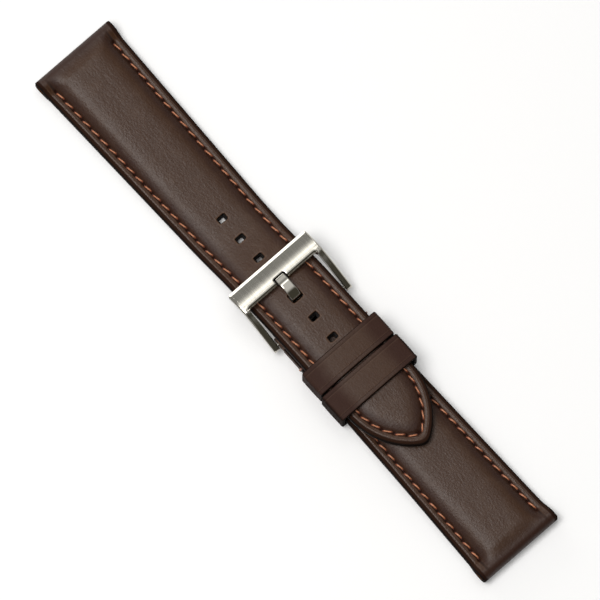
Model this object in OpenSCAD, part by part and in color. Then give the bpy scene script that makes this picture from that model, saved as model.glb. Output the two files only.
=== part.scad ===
// Leather watch strap, buckled and lying flat: a padded long strap with holes and a pointed tip,
// a padded short strap with two keepers, and a pin buckle on a spring bar.
// X runs along the strap, from the long strap's watch end to the short strap's watch end.
// Y runs across it, Z is up. The origin is under the middle, on the surface that the strap lies on.
// Sizes are in millimetres.

/* [Straps] */
// Width of both straps at the watch
lug_w = 21.8; // [20:0.2:24]
// Width of the long strap from its holes to its tip
tail_w = 18.8; // [17:0.2:19.2]
// Width of the short strap at the buckle
short_w = 19.3; // [18:0.1:19.6]
// Length of the long strap, watch end to tip
tail_l = 120; // [115:0.5:125]
// Length of the short strap, watch end to buckle bar
short_l = 70.7; // [65:0.1:80]
// Thickness of the padded middle near the watch
lug_t = 4.4; // [3.8:0.1:5]
// Thickness of the long strap's padded middle at the buckle
thin_t = 2.8; // [2.6:0.1:3.2]
// Thickness of the stitched edge near the watch
edge_lug_t = 2.4; // [2.2:0.1:3]
// Thickness of the stitched edge at the buckle
edge_t = 2; // [1.9:0.05:2.3]
// Thickness of the top leather
upper_t = 0.8; // [0.6:0.05:1]
// Thickness of the lining leather
lining_t = 0.8; // [0.6:0.05:1]
// Thickness of the reinforcing tape
tape_t = 0.2; // [0.1:0.05:0.3]

/* [Watch end] */
// Radius of the tunnel for the watch's spring bar
tunnel_r = 1; // [0.8:0.05:1.1]
// Radius of the rounded nose round the tunnel
nose_r = 1.9; // [1.7:0.05:2]
// Length of the nose block along the strap
nose_l = 4.3; // [4:0.1:5]
// How far the nose stands out past each edge of the strap
nose_bulge = 0.1; // [0:0.05:0.4]

/* [Holes] */
// Number of holes
hole_n = 7; // [5:1:8]
// Hole that the tongue is in, counted from the watch
hole_used = 5; // [4:1:6]
// Distance from the watch end to the first hole
hole_first = 51.1; // [48:0.1:54]
// Distance between holes
hole_pitch = 6.2; // [5.5:0.1:6.5]
// Length of a hole along the strap
hole_l = 1.6; // [1.4:0.1:2]
// Width of a hole across the strap
hole_w = 2.3; // [2:0.1:2.8]
// Length of the stretched hole that the tongue is in
hole_used_l = 2.9; // [2.8:0.1:3.2]

/* [Stitching] */
// Distance of the stitches from the edge
seam_in = 2.25; // [2:0.05:2.6]
// Distance between stitches
stitch_pitch = 2.85; // [2.4:0.05:3.4]
// Length of one stitch
stitch_l = 2.3; // [1.8:0.1:2.6]
// Width of the thread
thread_w = 0.6; // [0.4:0.05:0.7]
// Depth of the groove that the stitches lie in
groove = 0.3; // [0.2:0.05:0.4]

/* [Keepers] */
// Thickness of the keeper leather
keeper_t = 1; // [0.8:0.05:1.2]
// Width of the fixed keeper across the strap
fixed_keeper_w = 21.8; // [21.7:0.1:23]
// Length of the fixed keeper along the strap
fixed_keeper_l = 6.6; // [5:0.1:7]
// Width of the free keeper across the strap
free_keeper_w = 22.4; // [22.3:0.1:24]
// Length of the free keeper along the strap
free_keeper_l = 7.1; // [5:0.1:7.5]
// Distance from the buckle bar to the fixed keeper
keeper_from_bar = 9.2; // [8.6:0.1:10]
// Gap between the two keepers
keeper_gap = 0.35; // [0.3:0.05:2]

/* [Buckle] */
// Distance from the buckle bar to the front of the frame
frame_reach = 15.2; // [14.8:0.1:17]
// Distance from the buckle bar to the back edge of the front bar
window_l = 9.6; // [9.5:0.1:10.2]
// Width between the frame's arms
window_w = 20; // [19.9:0.1:21]
// Thickness of an arm across the strap
arm_w = 1.45; // [1.3:0.05:1.8]
// Thickness of the front bar
front_t = 1.75; // [1.6:0.05:2.1]
// Radius of the arms' ends round the spring bar
eye_r = 1.05; // [0.9:0.05:1.1]
// Distance from the hole in use to the buckle bar
bar_behind_hole = 5; // [5:0.05:5.3]
// Width of the tongue
tongue_w = 2.5; // [2:0.1:2.6]
// Thickness of the tongue
tongue_t = 1.1; // [0.9:0.05:1.15]
// Distance from the buckle bar to the tongue's tip
tongue_reach = 10.8; // [10.6:0.1:11.4]
// Depth of the notch that the tongue's tip lies in
notch_d = 1.1; // [0.8:0.05:1.2]

/* [Spring bar] */
// Radius of the spring bar's tube
bar_r = 0.75; // [0.7:0.05:0.8]
// Wall of the tube
tube_wall = 0.2; // [0.15:0.01:0.25]
// Radius of the tips' thin noses
tip_r = 0.4; // [0.3:0.05:0.4]
// How far each tip reaches into its arm
tip_reach = 1; // [0.7:0.05:1.1]
// Number of turns of the spring
spring_turns = 14; // [8:1:16]

/* [Clearances] */
// Clearance round the spring bar in the leather loop and the tongue
bar_play = 0.05; // [0.03:0.01:0.08]
// Gap between the long strap and what it lies on
lay_gap = 0.1; // [0.05:0.05:0.3]
// Gap between the straps and the keepers, above and below
keeper_play = 0.1; // [0.05:0.05:0.3]
// Gap between the front bar and the long strap below it
frame_gap = 0.25; // [0.2:0.05:0.4]
// Gap beside the tongue in its notch, hole and slot
tongue_play = 0.25; // [0.15:0.05:0.35]
// Gap between layers of leather that are glued
glue = 0.02; // [0.01:0.01:0.04]

/* [Hidden] */
$fn = 48;

// Places along X
bar_from_end = hole_first + (hole_used - 1) * hole_pitch + bar_behind_hole;
total_l = bar_from_end + short_l;
tail_end = -total_l / 2;
short_end = total_l / 2;
bar_x = tail_end + bar_from_end;
tip_r_arch = tail_w;
arch_x = tail_end + tail_l - tail_w * sqrt(3) / 2 + 0.5;
front_x = bar_x - frame_reach;
inner_x = bar_x - window_l;
fixed_keeper_x = bar_x + keeper_from_bar;
free_keeper_x = fixed_keeper_x + fixed_keeper_l + keeper_gap;

// Heights
loop_t = lining_t;
loop_in_r = bar_r + bar_play;
loop_r = loop_in_r + loop_t;
strap_z = keeper_t + keeper_play;
bar_z = strap_z + loop_r;
short_t = 2 * loop_r;
lay_z = strap_z + short_t + lay_gap;

// Sections, as distances in from the edge
bevel = 0.45;
groove_half = thread_w / 2 + 0.05;
pad_in = seam_in + 0.4;
shoulder_in = pad_in + 0.85;
crown_in = pad_in + 2.4;
shoulder_share = 0.82;
apex_round = 1;
apex_end = 0.96;
centre_pull = 0.08;

function ease(t) = let (u = min(1, max(0, t))) u * u * (3 - 2 * u);
function mix(a, b, t) = a + (b - a) * t;

// The long strap leaves the floor before the buckle and lies on the short strap behind it
rise_l = 30;
rise_end = 2;
thin_from_bar = 20;
function tail_base(x) = lay_z * ease((x - bar_x + rise_l) / (rise_l - rise_end));
function tail_thin(x) = ease((x - tail_end - nose_l) / (bar_x - thin_from_bar - tail_end - nose_l));
function tail_mid(x) = mix(lug_t, thin_t, tail_thin(x));
function tail_edge(x) = mix(edge_lug_t, edge_t, tail_thin(x));
function tail_half(x) = mix(lug_w, tail_w, min(1, (x - tail_end) / (hole_first + 10))) / 2;

// The short strap is level under the keepers and comes down to the floor at the watch
level_l = 40;
loop_grip = 8.2;
flat_end = loop_grip + 0.2;
flange_start = 16;
function short_base(x) = strap_z * (1 - ease((x - bar_x - level_l) / (short_l - level_l - nose_l)));
function short_thick(x) = ease((x - bar_x - level_l) / (short_l - level_l - nose_l));
function short_mid(x) = mix(short_t, lug_t, short_thick(x));
function short_edge(x) = x < bar_x + flat_end ? short_t
    : mix(short_t, mix(edge_t, edge_lug_t, short_thick(x)),
          ease((x - bar_x - flat_end) / (flange_start - flat_end)));
short_flare = 1.6;
function short_half(x) = mix(short_w, lug_w, pow(max(0, (x - bar_x) / short_l), short_flare)) / 2;

// Share of the crown's height at a distance from the edge
function crown(d) = d <= pad_in ? 0
    : d >= crown_in ? shoulder_share
    : shoulder_share * sin(90 * (d - pad_in) / (crown_in - pad_in));
function groove_at(d) = abs(d - seam_in) < groove_half + 0.01 ? groove : 0;
function bevel_at(d) = d < bevel ? 0.4 * (1 - d / bevel) : 0;

// Lines along the strap: [distance from the edge, share of the way out from the middle]
inner_shares = [0.55, 0];
top_lines = concat(
    [for (d = [0, bevel, seam_in - groove_half - 0.12, seam_in - groove_half, seam_in + groove_half,
               pad_in + 0.08, shoulder_in, crown_in]) [d, 1]],
    [for (s = inner_shares) [crown_in, s]]);
under_lines = concat([for (d = [0, pad_in + 0.08, shoulder_in, crown_in]) [d, 1]],
                     [for (s = inner_shares) [crown_in, s]]);
pad_lines = concat([for (d = [shoulder_in, crown_in]) [d, 1]], [for (s = inner_shares) [crown_in, s]]);
flat_lines = [[0, 1], [crown_in, 0]];
tape_lines = [[shoulder_in, 1], [crown_in, 0]];

// Half a row of points from one edge to the middle, mirrored to a whole row
function mirrored(half) = concat(
    [for (p = half) [p[0], -p[1], p[2]]],
    [for (i = [len(half) - 2:-1:0]) half[i]]);
function reversed(row) = [for (i = [len(row) - 1:-1:0]) row[i]];

// Height of the crowned top over the base, inside a line
function top_h(mid, edge, line, fade) =
    let (rise = crown(line[0]) + (1 - shoulder_share) * (1 - line[1] * line[1]) * fade)
    edge + (mid - edge) * rise - groove_at(line[0]) - bevel_at(line[0]);

// Plan of the long strap: stations along it, then stations round the pointed arch
tail_rings = 26;
arch_rings = 9;
function tail_xy(i, line) =
    i <= tail_rings
    ? let (x = mix(tail_end + nose_l, arch_x, i / tail_rings))
      [x, (tail_half(x) - line[0]) * line[1]]
    : let (
        f = (i - tail_rings) / arch_rings * apex_end,
        r = tip_r_arch - line[0],
        side = tip_r_arch - tail_w / 2,
        y = r * cos(acos(side / r) * f) - side,
        round_y = sqrt(y * y + pow(apex_round * f * f, 2)),
        x = sqrt(max(0.01, r * r - pow(round_y + side, 2))),
        pull = 1 - centre_pull * (1 - line[1])
      )
      [arch_x + x * pull, y * line[1]];
function tail_fade(i) = i <= tail_rings ? 1 : 1 - pow((i - tail_rings) / arch_rings, 2);
function tail_top(i, line) =
    let (p = tail_xy(i, line))
    [p[0], p[1], tail_base(p[0]) + top_h(tail_mid(p[0]), tail_edge(p[0]), line, tail_fade(i))];
function tail_under(i, line) =
    let (p = tail_top(i, line), low = tail_base(p[0]) + lining_t + glue)
    [p[0], p[1], line[0] < shoulder_in ? low : max(low, p[2] - upper_t)];
function tail_at(i, line, h) = let (p = tail_xy(i, line)) [p[0], p[1], tail_base(p[0]) + h];

// Plan of the short strap
short_start = bar_x + loop_r + 0.3;
short_rings = 20;
short_flat_rings = 3;
function short_station(i) =
    i == 0 ? short_start
    : i == 1 ? bar_x + flat_end
    : i == 2 ? bar_x + flat_end + 0.2
    : mix(bar_x + flat_end + 0.2, short_end - nose_l, (i - 2) / (short_rings - 2));
function short_xy(x, line) = [x, (short_half(x) - line[0]) * line[1]];
function short_top(x, line) =
    let (p = short_xy(x, line)) [p[0], p[1], short_base(x) + top_h(short_mid(x), short_edge(x), line, 1)];
function short_under(x, line) =
    let (p = short_top(x, line), low = short_base(x) + lining_t + glue)
    [p[0], p[1],
     x < bar_x + flat_end + 0.1 ? short_base(x) + short_t - upper_t
     : line[0] < shoulder_in ? low
     : max(low, p[2] - upper_t)];
function short_at(x, line, h) = let (p = short_xy(x, line)) [p[0], p[1], short_base(x) + h];

// Triangles between a top row and a bottom row, taking the next point of whichever row is behind
function zipped(top, low, i = 0, j = 0) =
    let (i_last = len(top) - 1, j_last = len(low) - 1, k = i_last + 1 + j_last - j)
    i == i_last && j == j_last ? []
    : j == j_last || (i < i_last && top[i + 1][1] <= low[j + 1][1])
    ? concat([[i, i + 1, k]], zipped(top, low, i + 1, j))
    : concat([[i, k - 1, k]], zipped(top, low, i, j + 1));

// A closed skin over rings of points. Each ring is a top row and a returning bottom row.
// A pinched end is closed by strips between mirrored points, a plain end by a flat face.
module skin(tops, bottoms, pinched = false) {
    n = len(tops);
    t = len(tops[0]);
    b = len(bottoms[0]);
    m = t + b;
    last = (n - 1) * m;
    points = [for (i = [0:n - 1]) for (p = concat(tops[i], reversed(bottoms[i]))) p];
    sides = [for (i = [0:n - 2]) for (j = [0:m - 1]) for (half = [0, 1])
        let (k = (j + 1) % m, a = i * m)
        half == 0 ? [a + j, a + k, a + m + k] : [a + j, a + m + k, a + m + j]];
    near = [for (f = zipped(tops[0], bottoms[0])) [f[2], f[1], f[0]]];
    far = !pinched ? [for (f = zipped(tops[n - 1], bottoms[n - 1])) [last + f[0], last + f[1], last + f[2]]]
        : concat(
        [for (j = [0:(t - 1) / 2 - 2]) for (half = [0, 1])
            half == 0 ? [last + j, last + j + 1, last + t - 2 - j]
            : [last + j, last + t - 2 - j, last + t - 1 - j]],
        [[last + (t - 1) / 2 - 1, last + (t - 1) / 2, last + (t - 1) / 2 + 1]],
        [[last, last + t - 1, last + t], [last, last + t, last + m - 1]],
        [for (j = [0:(b - 1) / 2 - 2]) for (half = [0, 1])
            half == 0 ? [last + t + j, last + t + j + 1, last + m - 2 - j]
            : [last + t + j, last + m - 2 - j, last + m - 1 - j]],
        [[last + t + (b - 1) / 2 - 1, last + t + (b - 1) / 2, last + t + (b - 1) / 2 + 1]]);
    polyhedron(points = points, faces = concat(near, sides, far), convexity = 4);
}

module tail_skin(top_row, bottom_row) {
    skin(top_row, bottom_row, pinched = true);
}

// A flat shape drawn in X and Z, as wide as w across the strap
module across(w) {
    rotate([90, 0, 0]) linear_extrude(w, center = true) children();
}

// A rectangle with rounded corners, drawn with squares and circles
module rounded(w, z0, z1, top_r, low_r) {
    translate([-w / 2, z0 + low_r]) square([w, z1 - z0 - top_r - low_r]);
    translate([-w / 2 + top_r, z1 - 2 * top_r]) square([w - 2 * top_r, 2 * top_r]);
    translate([-w / 2 + low_r, z0]) square([w - 2 * low_r, 2 * low_r]);
    for (side = [-1, 1]) {
        translate([side * (w / 2 - top_r), z1 - top_r]) circle(top_r);
        translate([side * (w / 2 - low_r), z0 + low_r]) circle(low_r);
    }
}

// The punched holes, with small round corners
module holes() {
    for (i = [1:hole_n]) {
        long = i == hole_used ? hole_used_l : hole_l;
        wide = i == hole_used ? tongue_w + 2 * tongue_play : hole_w;
        translate([tail_end + hole_first + (i - 1) * hole_pitch, 0, -1])
            linear_extrude(lay_z + lug_t + 2)
            rounded(long, -wide / 2, wide / 2, 0.4, 0.4, $fn = 8);
    }
}

module tail_upper() {
    color([0.27, 0.21, 0.18])
    difference() {
        tail_skin(
            [for (i = [0:tail_rings + arch_rings]) mirrored([for (line = top_lines) tail_top(i, line)])],
            [for (i = [0:tail_rings + arch_rings]) mirrored([for (line = under_lines) tail_under(i, line)])]);
        holes();
    }
}

module tail_lining() {
    color([0.3, 0.23, 0.19])
    difference() {
        tail_skin(
            [for (i = [0:tail_rings + arch_rings]) mirrored([for (line = flat_lines) tail_at(i, line, lining_t)])],
            [for (i = [0:tail_rings + arch_rings]) mirrored([for (line = flat_lines) tail_at(i, line, 0)])]);
        holes();
    }
}

module tail_padding() {
    color([0.75, 0.7, 0.6])
    difference() {
        tail_skin(
            [for (i = [0:tail_rings + arch_rings]) mirrored([for (line = pad_lines)
                tail_under(i, line) - [0, 0, glue]])],
            [for (i = [0:tail_rings + arch_rings]) mirrored([for (line = pad_lines)
                tail_at(i, line, lining_t + tape_t + 2 * glue)])]);
        holes();
    }
}

module tail_tape() {
    color([0.85, 0.85, 0.82])
    difference() {
        tail_skin(
            [for (i = [0:tail_rings + arch_rings]) mirrored([for (line = tape_lines)
                tail_at(i, line, lining_t + tape_t + glue)])],
            [for (i = [0:tail_rings + arch_rings]) mirrored([for (line = tape_lines)
                tail_at(i, line, lining_t + glue)])]);
        holes();
    }
}

// The rounded leather nose with the tunnel for the watch's spring bar, its back face at X = 0
module bar_tunnel() {
    across(lug_w + 2 * nose_bulge)
    difference() {
        union() {
            translate([-nose_l + nose_r, nose_r]) circle(nose_r);
            translate([-nose_l + nose_r, 0]) square([nose_l - nose_r - glue, 2 * nose_r]);
        }
        translate([-nose_l + nose_r, nose_r]) circle(tunnel_r);
    }
}

module tail_bar_tunnel() {
    color([0.24, 0.18, 0.15]) translate([tail_end + nose_l, 0, 0]) bar_tunnel();
}

module short_bar_tunnel() {
    color([0.24, 0.18, 0.15]) translate([short_end - nose_l, 0, 0]) mirror([1, 0, 0]) bar_tunnel();
}

// One stitch: a bar of thread in the groove with its two ends going down through the leather
module stitch(depth) {
    h = stitch_l / 2;
    leg = thread_w / 2;
    rotate([90, 0, 0]) linear_extrude(thread_w, center = true)
    polygon([
        [-h, -depth], [-h + leg, -depth], [-h + leg, 0], [h - leg, 0], [h - leg, -depth], [h, -depth],
        [h, groove * 0.4], [h - leg, groove], [-h + leg, groove], [-h, groove * 0.4]
    ]);
}

// The seam of the long strap, by distance along it: [x, y, direction]
seam_start = tail_end + nose_l + 0.3;
seam_straight = arch_x - seam_start;
seam_r = tip_r_arch - seam_in;
seam_arc = acos((tip_r_arch - tail_w / 2) / seam_r);
seam_l = seam_straight + seam_r * seam_arc * PI / 180 - 0.3;
function tail_seam(s) =
    s < seam_straight
    ? let (x = seam_start + s) [x, tail_half(x) - seam_in, atan((tail_half(x + 1) - tail_half(x)))]
    : let (a = (s - seam_straight) / seam_r * 180 / PI)
      [arch_x + seam_r * sin(a), seam_r * cos(a) - (tip_r_arch - tail_w / 2), -a];
function tail_slope(x) = atan((tail_base(x + 0.5) - tail_base(x - 0.5))
                              + (tail_edge(x + 0.5) - tail_edge(x - 0.5)));

module tail_stitching() {
    n = round(seam_l / stitch_pitch);
    color([0.72, 0.42, 0.27])
    for (side = [-1, 1]) for (i = [0:n - 1]) {
        p = tail_seam((i + 0.5) * seam_l / n);
        depth = tail_edge(p[0]) - groove - 0.2;
        translate([p[0], side * p[1], tail_base(p[0]) + tail_edge(p[0]) - groove + 0.01])
            rotate([0, 0, side * p[2]])
            rotate([0, -tail_slope(p[0]), 0])
            stitch(depth);
    }
}

module short_stitching() {
    start = short_start + 0.8;
    end = short_end - nose_l - 0.3;
    n = round((end - start) / stitch_pitch);
    step = (end - start) / n;
    color([0.72, 0.42, 0.27])
    for (side = [-1, 1]) for (i = [0:n - 1]) {
        x = start + (i + 0.5) * step;
        z = short_base(x) + short_edge(x);
        rise = short_base(x + 0.5) + short_edge(x + 0.5) - short_base(x - 0.5) - short_edge(x - 0.5);
        translate([x, side * (short_half(x) - seam_in), z - groove + 0.01])
            rotate([0, 0, side * atan(short_half(x + 1) - short_half(x))])
            rotate([0, -atan(rise), 0])
            stitch(short_edge(x) - groove - 0.4);
    }
}

module short_upper() {
    xs = [for (i = [0:short_rings]) short_station(i)];
    color([0.27, 0.21, 0.18])
    skin([for (x = xs) mirrored([for (line = top_lines) short_top(x, line)])],
         [for (x = xs) mirrored([for (line = under_lines) short_under(x, line)])]);
}

module short_lining() {
    xs = [for (i = [0:short_rings]) short_station(i)];
    color([0.3, 0.23, 0.19])
    skin([for (x = xs) mirrored([for (line = flat_lines) short_at(x, line, lining_t - glue)])],
         [for (x = xs) mirrored([for (line = flat_lines) short_at(x, line, 0)])]);
}

module short_padding() {
    xs = [for (i = [short_flat_rings:short_rings]) short_station(i)];
    color([0.75, 0.7, 0.6])
    skin([for (x = xs) mirrored([for (line = pad_lines) short_under(x, line) - [0, 0, glue]])],
         [for (x = xs) mirrored([for (line = pad_lines) short_at(x, line, lining_t + tape_t + glue)])]);
}

module short_tape() {
    xs = [for (i = [short_flat_rings:short_rings]) short_station(i)];
    color([0.85, 0.85, 0.82])
    skin([for (x = xs) mirrored([for (line = tape_lines) short_at(x, line, lining_t + tape_t)])],
         [for (x = xs) mirrored([for (line = tape_lines) short_at(x, line, lining_t)])]);
}

// The leather loop round the spring bar, glued between the short strap's upper and lining
module buckle_loop() {
    slot_w = tongue_w + 2 * tongue_play;
    color([0.25, 0.19, 0.16])
    translate([bar_x, 0, bar_z])
    difference() {
        across(short_w)
        difference() {
            union() {
                circle(loop_r);
                translate([0, -loop_t + glue]) square([loop_grip, 2 * loop_t - 2 * glue]);
            }
            circle(loop_in_r);
        }
        translate([-2 * loop_r, -slot_w / 2, -2 * loop_r])
            cube([3 * loop_r + 0.3, slot_w, 4 * loop_r]);
    }
}

// A leather ring round both straps, open along X
keeper_top_r = 1.8;
keeper_low_r = 0.9;
module keeper(w, l) {
    low = strap_z - keeper_play;
    high = lay_z + thin_t + keeper_play;
    rotate([90, 0, 90]) linear_extrude(l)
    difference() {
        rounded(w, low - keeper_t, high + keeper_t, keeper_top_r, keeper_low_r);
        rounded(w - 2 * keeper_t, low, high, 0.9, 0.05);
    }
}

module fixed_keeper() {
    color([0.26, 0.2, 0.17]) translate([fixed_keeper_x, 0, 0]) keeper(fixed_keeper_w, fixed_keeper_l);
}

module free_keeper() {
    color([0.26, 0.2, 0.17]) translate([free_keeper_x, 0, 0]) keeper(free_keeper_w, free_keeper_l);
}

// Thread passed round each edge of the short strap, just in front of the fixed keeper
module keeper_anchor_stitches() {
    turn_l = 0.6;
    turn_in = 0.3;
    color([0.6, 0.34, 0.22])
    for (side = [-1, 1]) for (turn = [1, 2]) {
        x = fixed_keeper_x - turn * 2 * turn_l + 0.4;
        edge_y = short_half(x) + 0.06;
        low = strap_z - glue;
        high = strap_z + short_t + glue;
        translate([x, 0, 0]) mirror([0, side < 0 ? 1 : 0, 0]) rotate([90, 0, 90]) linear_extrude(turn_l)
        polygon([
            [edge_y - turn_in, high], [edge_y, high], [edge_y, low], [edge_y - turn_in, low],
            [edge_y - turn_in, low - turn_in], [edge_y + turn_in / 2, low - turn_in],
            [edge_y + turn_in, low - turn_in / 2], [edge_y + turn_in, high + turn_in / 2],
            [edge_y + turn_in / 2, high + turn_in], [edge_y - turn_in, high + turn_in]
        ]);
    }
}

// The frame's underside follows the long strap below it
function frame_low(x) = tail_base(x) + thin_t + frame_gap;
frame_w = window_w + 2 * arm_w;
front_z = frame_low(front_x);
inner_z = frame_low(inner_x);
function front_top(x) = mix(front_z, inner_z, (x - front_x) / (inner_x - front_x)) + front_t;

// Side view of the front bar, with its polished bevel in front and its slope at the window
module front_bar_side() {
    polygon([
        [front_x, front_z], [front_x, front_z + front_t * 0.55],
        [front_x + 0.6, front_top(front_x + 0.6) - 0.15], [front_x + 2.2, front_top(front_x + 2.2)],
        [inner_x - 0.9, front_top(inner_x - 0.9)], [inner_x, front_top(inner_x) - 0.55], [inner_x, inner_z]
    ]);
}

// Side view of an arm, from the front bar down to its eye round the spring bar
module arm_side() {
    knee_x = bar_x - 4.7;
    knee_z = mix(bar_z, inner_z + front_t, 0.66);
    polygon([
        [inner_x - 1.6, front_top(inner_x - 1.6)], [inner_x, front_top(inner_x) - 0.1],
        [knee_x, knee_z], [bar_x + eye_r * 0.7, bar_z + eye_r * 0.7],
        [bar_x, bar_z - eye_r], [bar_x - eye_r * 0.75, bar_z - eye_r * 0.65],
        [knee_x - 0.6, knee_z - 2], [inner_x - 0.4, inner_z - 0.3], [inner_x - 1.6, inner_z - 0.3]
    ]);
    translate([bar_x, bar_z]) circle(eye_r);
}

module frame_plan() {
    corner = 0.9;
    mid_x = (front_x + bar_x + eye_r) / 2;
    plan_l = bar_x + eye_r - front_x;
    difference() {
        translate([mid_x, 0]) rounded(plan_l, -frame_w / 2, frame_w / 2, corner, corner);
        translate([inner_x, -window_w / 2]) square([plan_l, window_w]);
    }
}

module buckle_frame() {
    hole_d = tip_reach + 0.1;
    notch_w = tongue_w + 2 * tongue_play + 0.3;
    notch_x = bar_x - tongue_reach - tongue_play;
    color([0.72, 0.71, 0.69])
    difference() {
        intersection() {
            union() {
                across(frame_w) front_bar_side();
                for (side = [-1, 1]) translate([0, side * (window_w + arm_w) / 2, 0])
                    across(arm_w) arm_side();
            }
            translate([0, 0, -1]) linear_extrude(front_top(inner_x) + 4) frame_plan();
        }
        across(notch_w) polygon([
            [notch_x, front_top(notch_x) - notch_d], [inner_x + 1, front_top(inner_x + 1) - notch_d],
            [inner_x + 1, front_top(inner_x) + 3], [notch_x, front_top(inner_x) + 3]
        ]);
        for (side = [-1, 1]) translate([bar_x, side * (window_w / 2 + hole_d / 2 - 0.05), bar_z])
            rotate([90, 0, 0]) cylinder(r = tip_r + 0.05, h = hole_d + 0.1, center = true);
    }
}

// The tongue's middle line in X and Z: from the knuckle, up through the hole and over the front bar
tip_gap = 0.06;
function tongue_rest(x) = front_top(x) - notch_d + tip_gap + tongue_t / 2;
shank_x = bar_x - bar_behind_hole;
shank_low = lay_z - 0.3;
shank_high = lay_z + thin_t - 0.3;
tongue_path = [
    [bar_x - 1, bar_z + 0.15], [bar_x - 2.3, bar_z + 0.2], [shank_x + 1.75, bar_z + 0.24],
    [shank_x + 0.98, bar_z + 0.54], [shank_x + 0.5, shank_low], [shank_x + 0.15, mix(shank_low, shank_high, 0.45)],
    [shank_x - 0.25, shank_high], [shank_x - 1.2, shank_high + 1.1],
    [shank_x - 2.8, tongue_rest(inner_x) + 0.25], [inner_x, tongue_rest(inner_x)],
    [bar_x - tongue_reach, tongue_rest(bar_x - tongue_reach)]
];

// A smooth line through points, and a strip of even thickness along it
function smooth(p, i, t) =
    let (a = p[max(0, i - 1)], b = p[i], c = p[i + 1], d = p[min(len(p) - 1, i + 2)])
    0.5 * (2 * b + (c - a) * t + (2 * a - 5 * b + 4 * c - d) * t * t + (3 * b - a - 3 * c + d) * t * t * t);
function smooth_line(p, steps) = concat(
    [for (i = [0:len(p) - 2]) for (k = [0:steps - 1]) smooth(p, i, k / steps)], [p[len(p) - 1]]);
function side_of(line, i, half) =
    let (
        a = line[max(0, i - 1)],
        b = line[min(len(line) - 1, i + 1)],
        along = (b - a) / norm(b - a)
    )
    line[i] + half * [-along[1], along[0]];

module strip(line, t) {
    polygon(concat(
        [for (i = [0:len(line) - 1]) side_of(line, i, t / 2)],
        [for (i = [len(line) - 1:-1:0]) side_of(line, i, -t / 2)]));
}

module tongue() {
    knuckle_r = loop_in_r + 0.6;
    color([0.7, 0.69, 0.67])
    difference() {
        union() {
            across(tongue_w) strip(smooth_line(tongue_path, 4), tongue_t);
            along_bar() cylinder(r = knuckle_r, h = tongue_w, center = true);
        }
        along_bar() cylinder(r = loop_in_r, h = tongue_w + 1, center = true);
    }
}

// The spring bar's tube, with crimped ends that hold the tips' collars
tube_l = window_w - 0.4;
crimp_l = 0.3;
tube_in_r = bar_r - tube_wall;
collar_r = tube_in_r - 0.05;
collar_l = 1.2;

module along_bar() {
    translate([bar_x, 0, bar_z]) rotate([90, 0, 0]) children();
}

module spring_bar_tube() {
    color([0.66, 0.66, 0.66])
    along_bar() difference() {
        cylinder(r = bar_r, h = tube_l, center = true);
        cylinder(r = tube_in_r, h = tube_l - 2 * crimp_l, center = true);
        cylinder(r = tip_r + 0.05, h = tube_l + 1, center = true);
    }
}

// One sprung tip, pointing along +Y from its collar
module spring_bar_tip(side) {
    collar_y = tube_l / 2 - crimp_l - collar_l;
    color([0.74, 0.74, 0.74])
    translate([bar_x, 0, bar_z]) rotate([-90 * side, 0, 0]) {
        translate([0, 0, collar_y]) cylinder(r = collar_r, h = collar_l - 0.02);
        translate([0, 0, collar_y]) cylinder(r = tip_r, h = window_w / 2 + tip_reach - collar_y);
    }
}

module spring_bar_tip_left() {
    spring_bar_tip(-1);
}

module spring_bar_tip_right() {
    spring_bar_tip(1);
}

// The coil spring inside the tube, between the two collars
module spring_bar_spring() {
    wire_r = 0.08;
    coil_r = tube_in_r - wire_r - 0.05;
    half_l = tube_l / 2 - crimp_l - collar_l - wire_r - 0.02;
    steps = 10;
    wire_sides = 5;
    n = spring_turns * steps;
    function wire_centre(i) = let (a = 360 * i / steps)
        [coil_r * cos(a), coil_r * sin(a), -half_l + 2 * half_l * i / n];
    function wire_point(i, j) = let (a = 360 * i / steps, b = 360 * j / wire_sides)
        wire_centre(i) + wire_r * [cos(b) * cos(a), cos(b) * sin(a), sin(b)];
    points = [for (i = [0:n]) for (j = [0:wire_sides - 1]) wire_point(i, j)];
    sides = [for (i = [0:n - 1]) for (j = [0:wire_sides - 1]) for (half = [0, 1])
        let (k = (j + 1) % wire_sides, a = i * wire_sides, b = a + wire_sides)
        half == 0 ? [a + j, b + k, a + k] : [a + j, b + j, b + k]];
    ends = [[for (j = [0:wire_sides - 1]) j], [for (j = [wire_sides - 1:-1:0]) n * wire_sides + j]];
    color([0.8, 0.8, 0.78])
    along_bar() polyhedron(points = points, faces = concat(sides, ends), convexity = 6);
}

tail_upper();
tail_lining();
tail_padding();
tail_tape();
tail_bar_tunnel();
tail_stitching();
short_upper();
short_lining();
short_padding();
short_tape();
short_bar_tunnel();
short_stitching();
buckle_loop();
fixed_keeper();
keeper_anchor_stitches();
free_keeper();
buckle_frame();
tongue();
spring_bar_tube();
spring_bar_tip_left();
spring_bar_tip_right();
spring_bar_spring();
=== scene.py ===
"""Looks of a padded leather watch strap, buckled and lying flat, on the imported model.

Shapes are numpy surfaces worked out in millimetres and stored in metres. X runs along the strap from
the long strap's watch end to the short strap's watch end, Y runs across it and Z is up.
"""

import math

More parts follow.
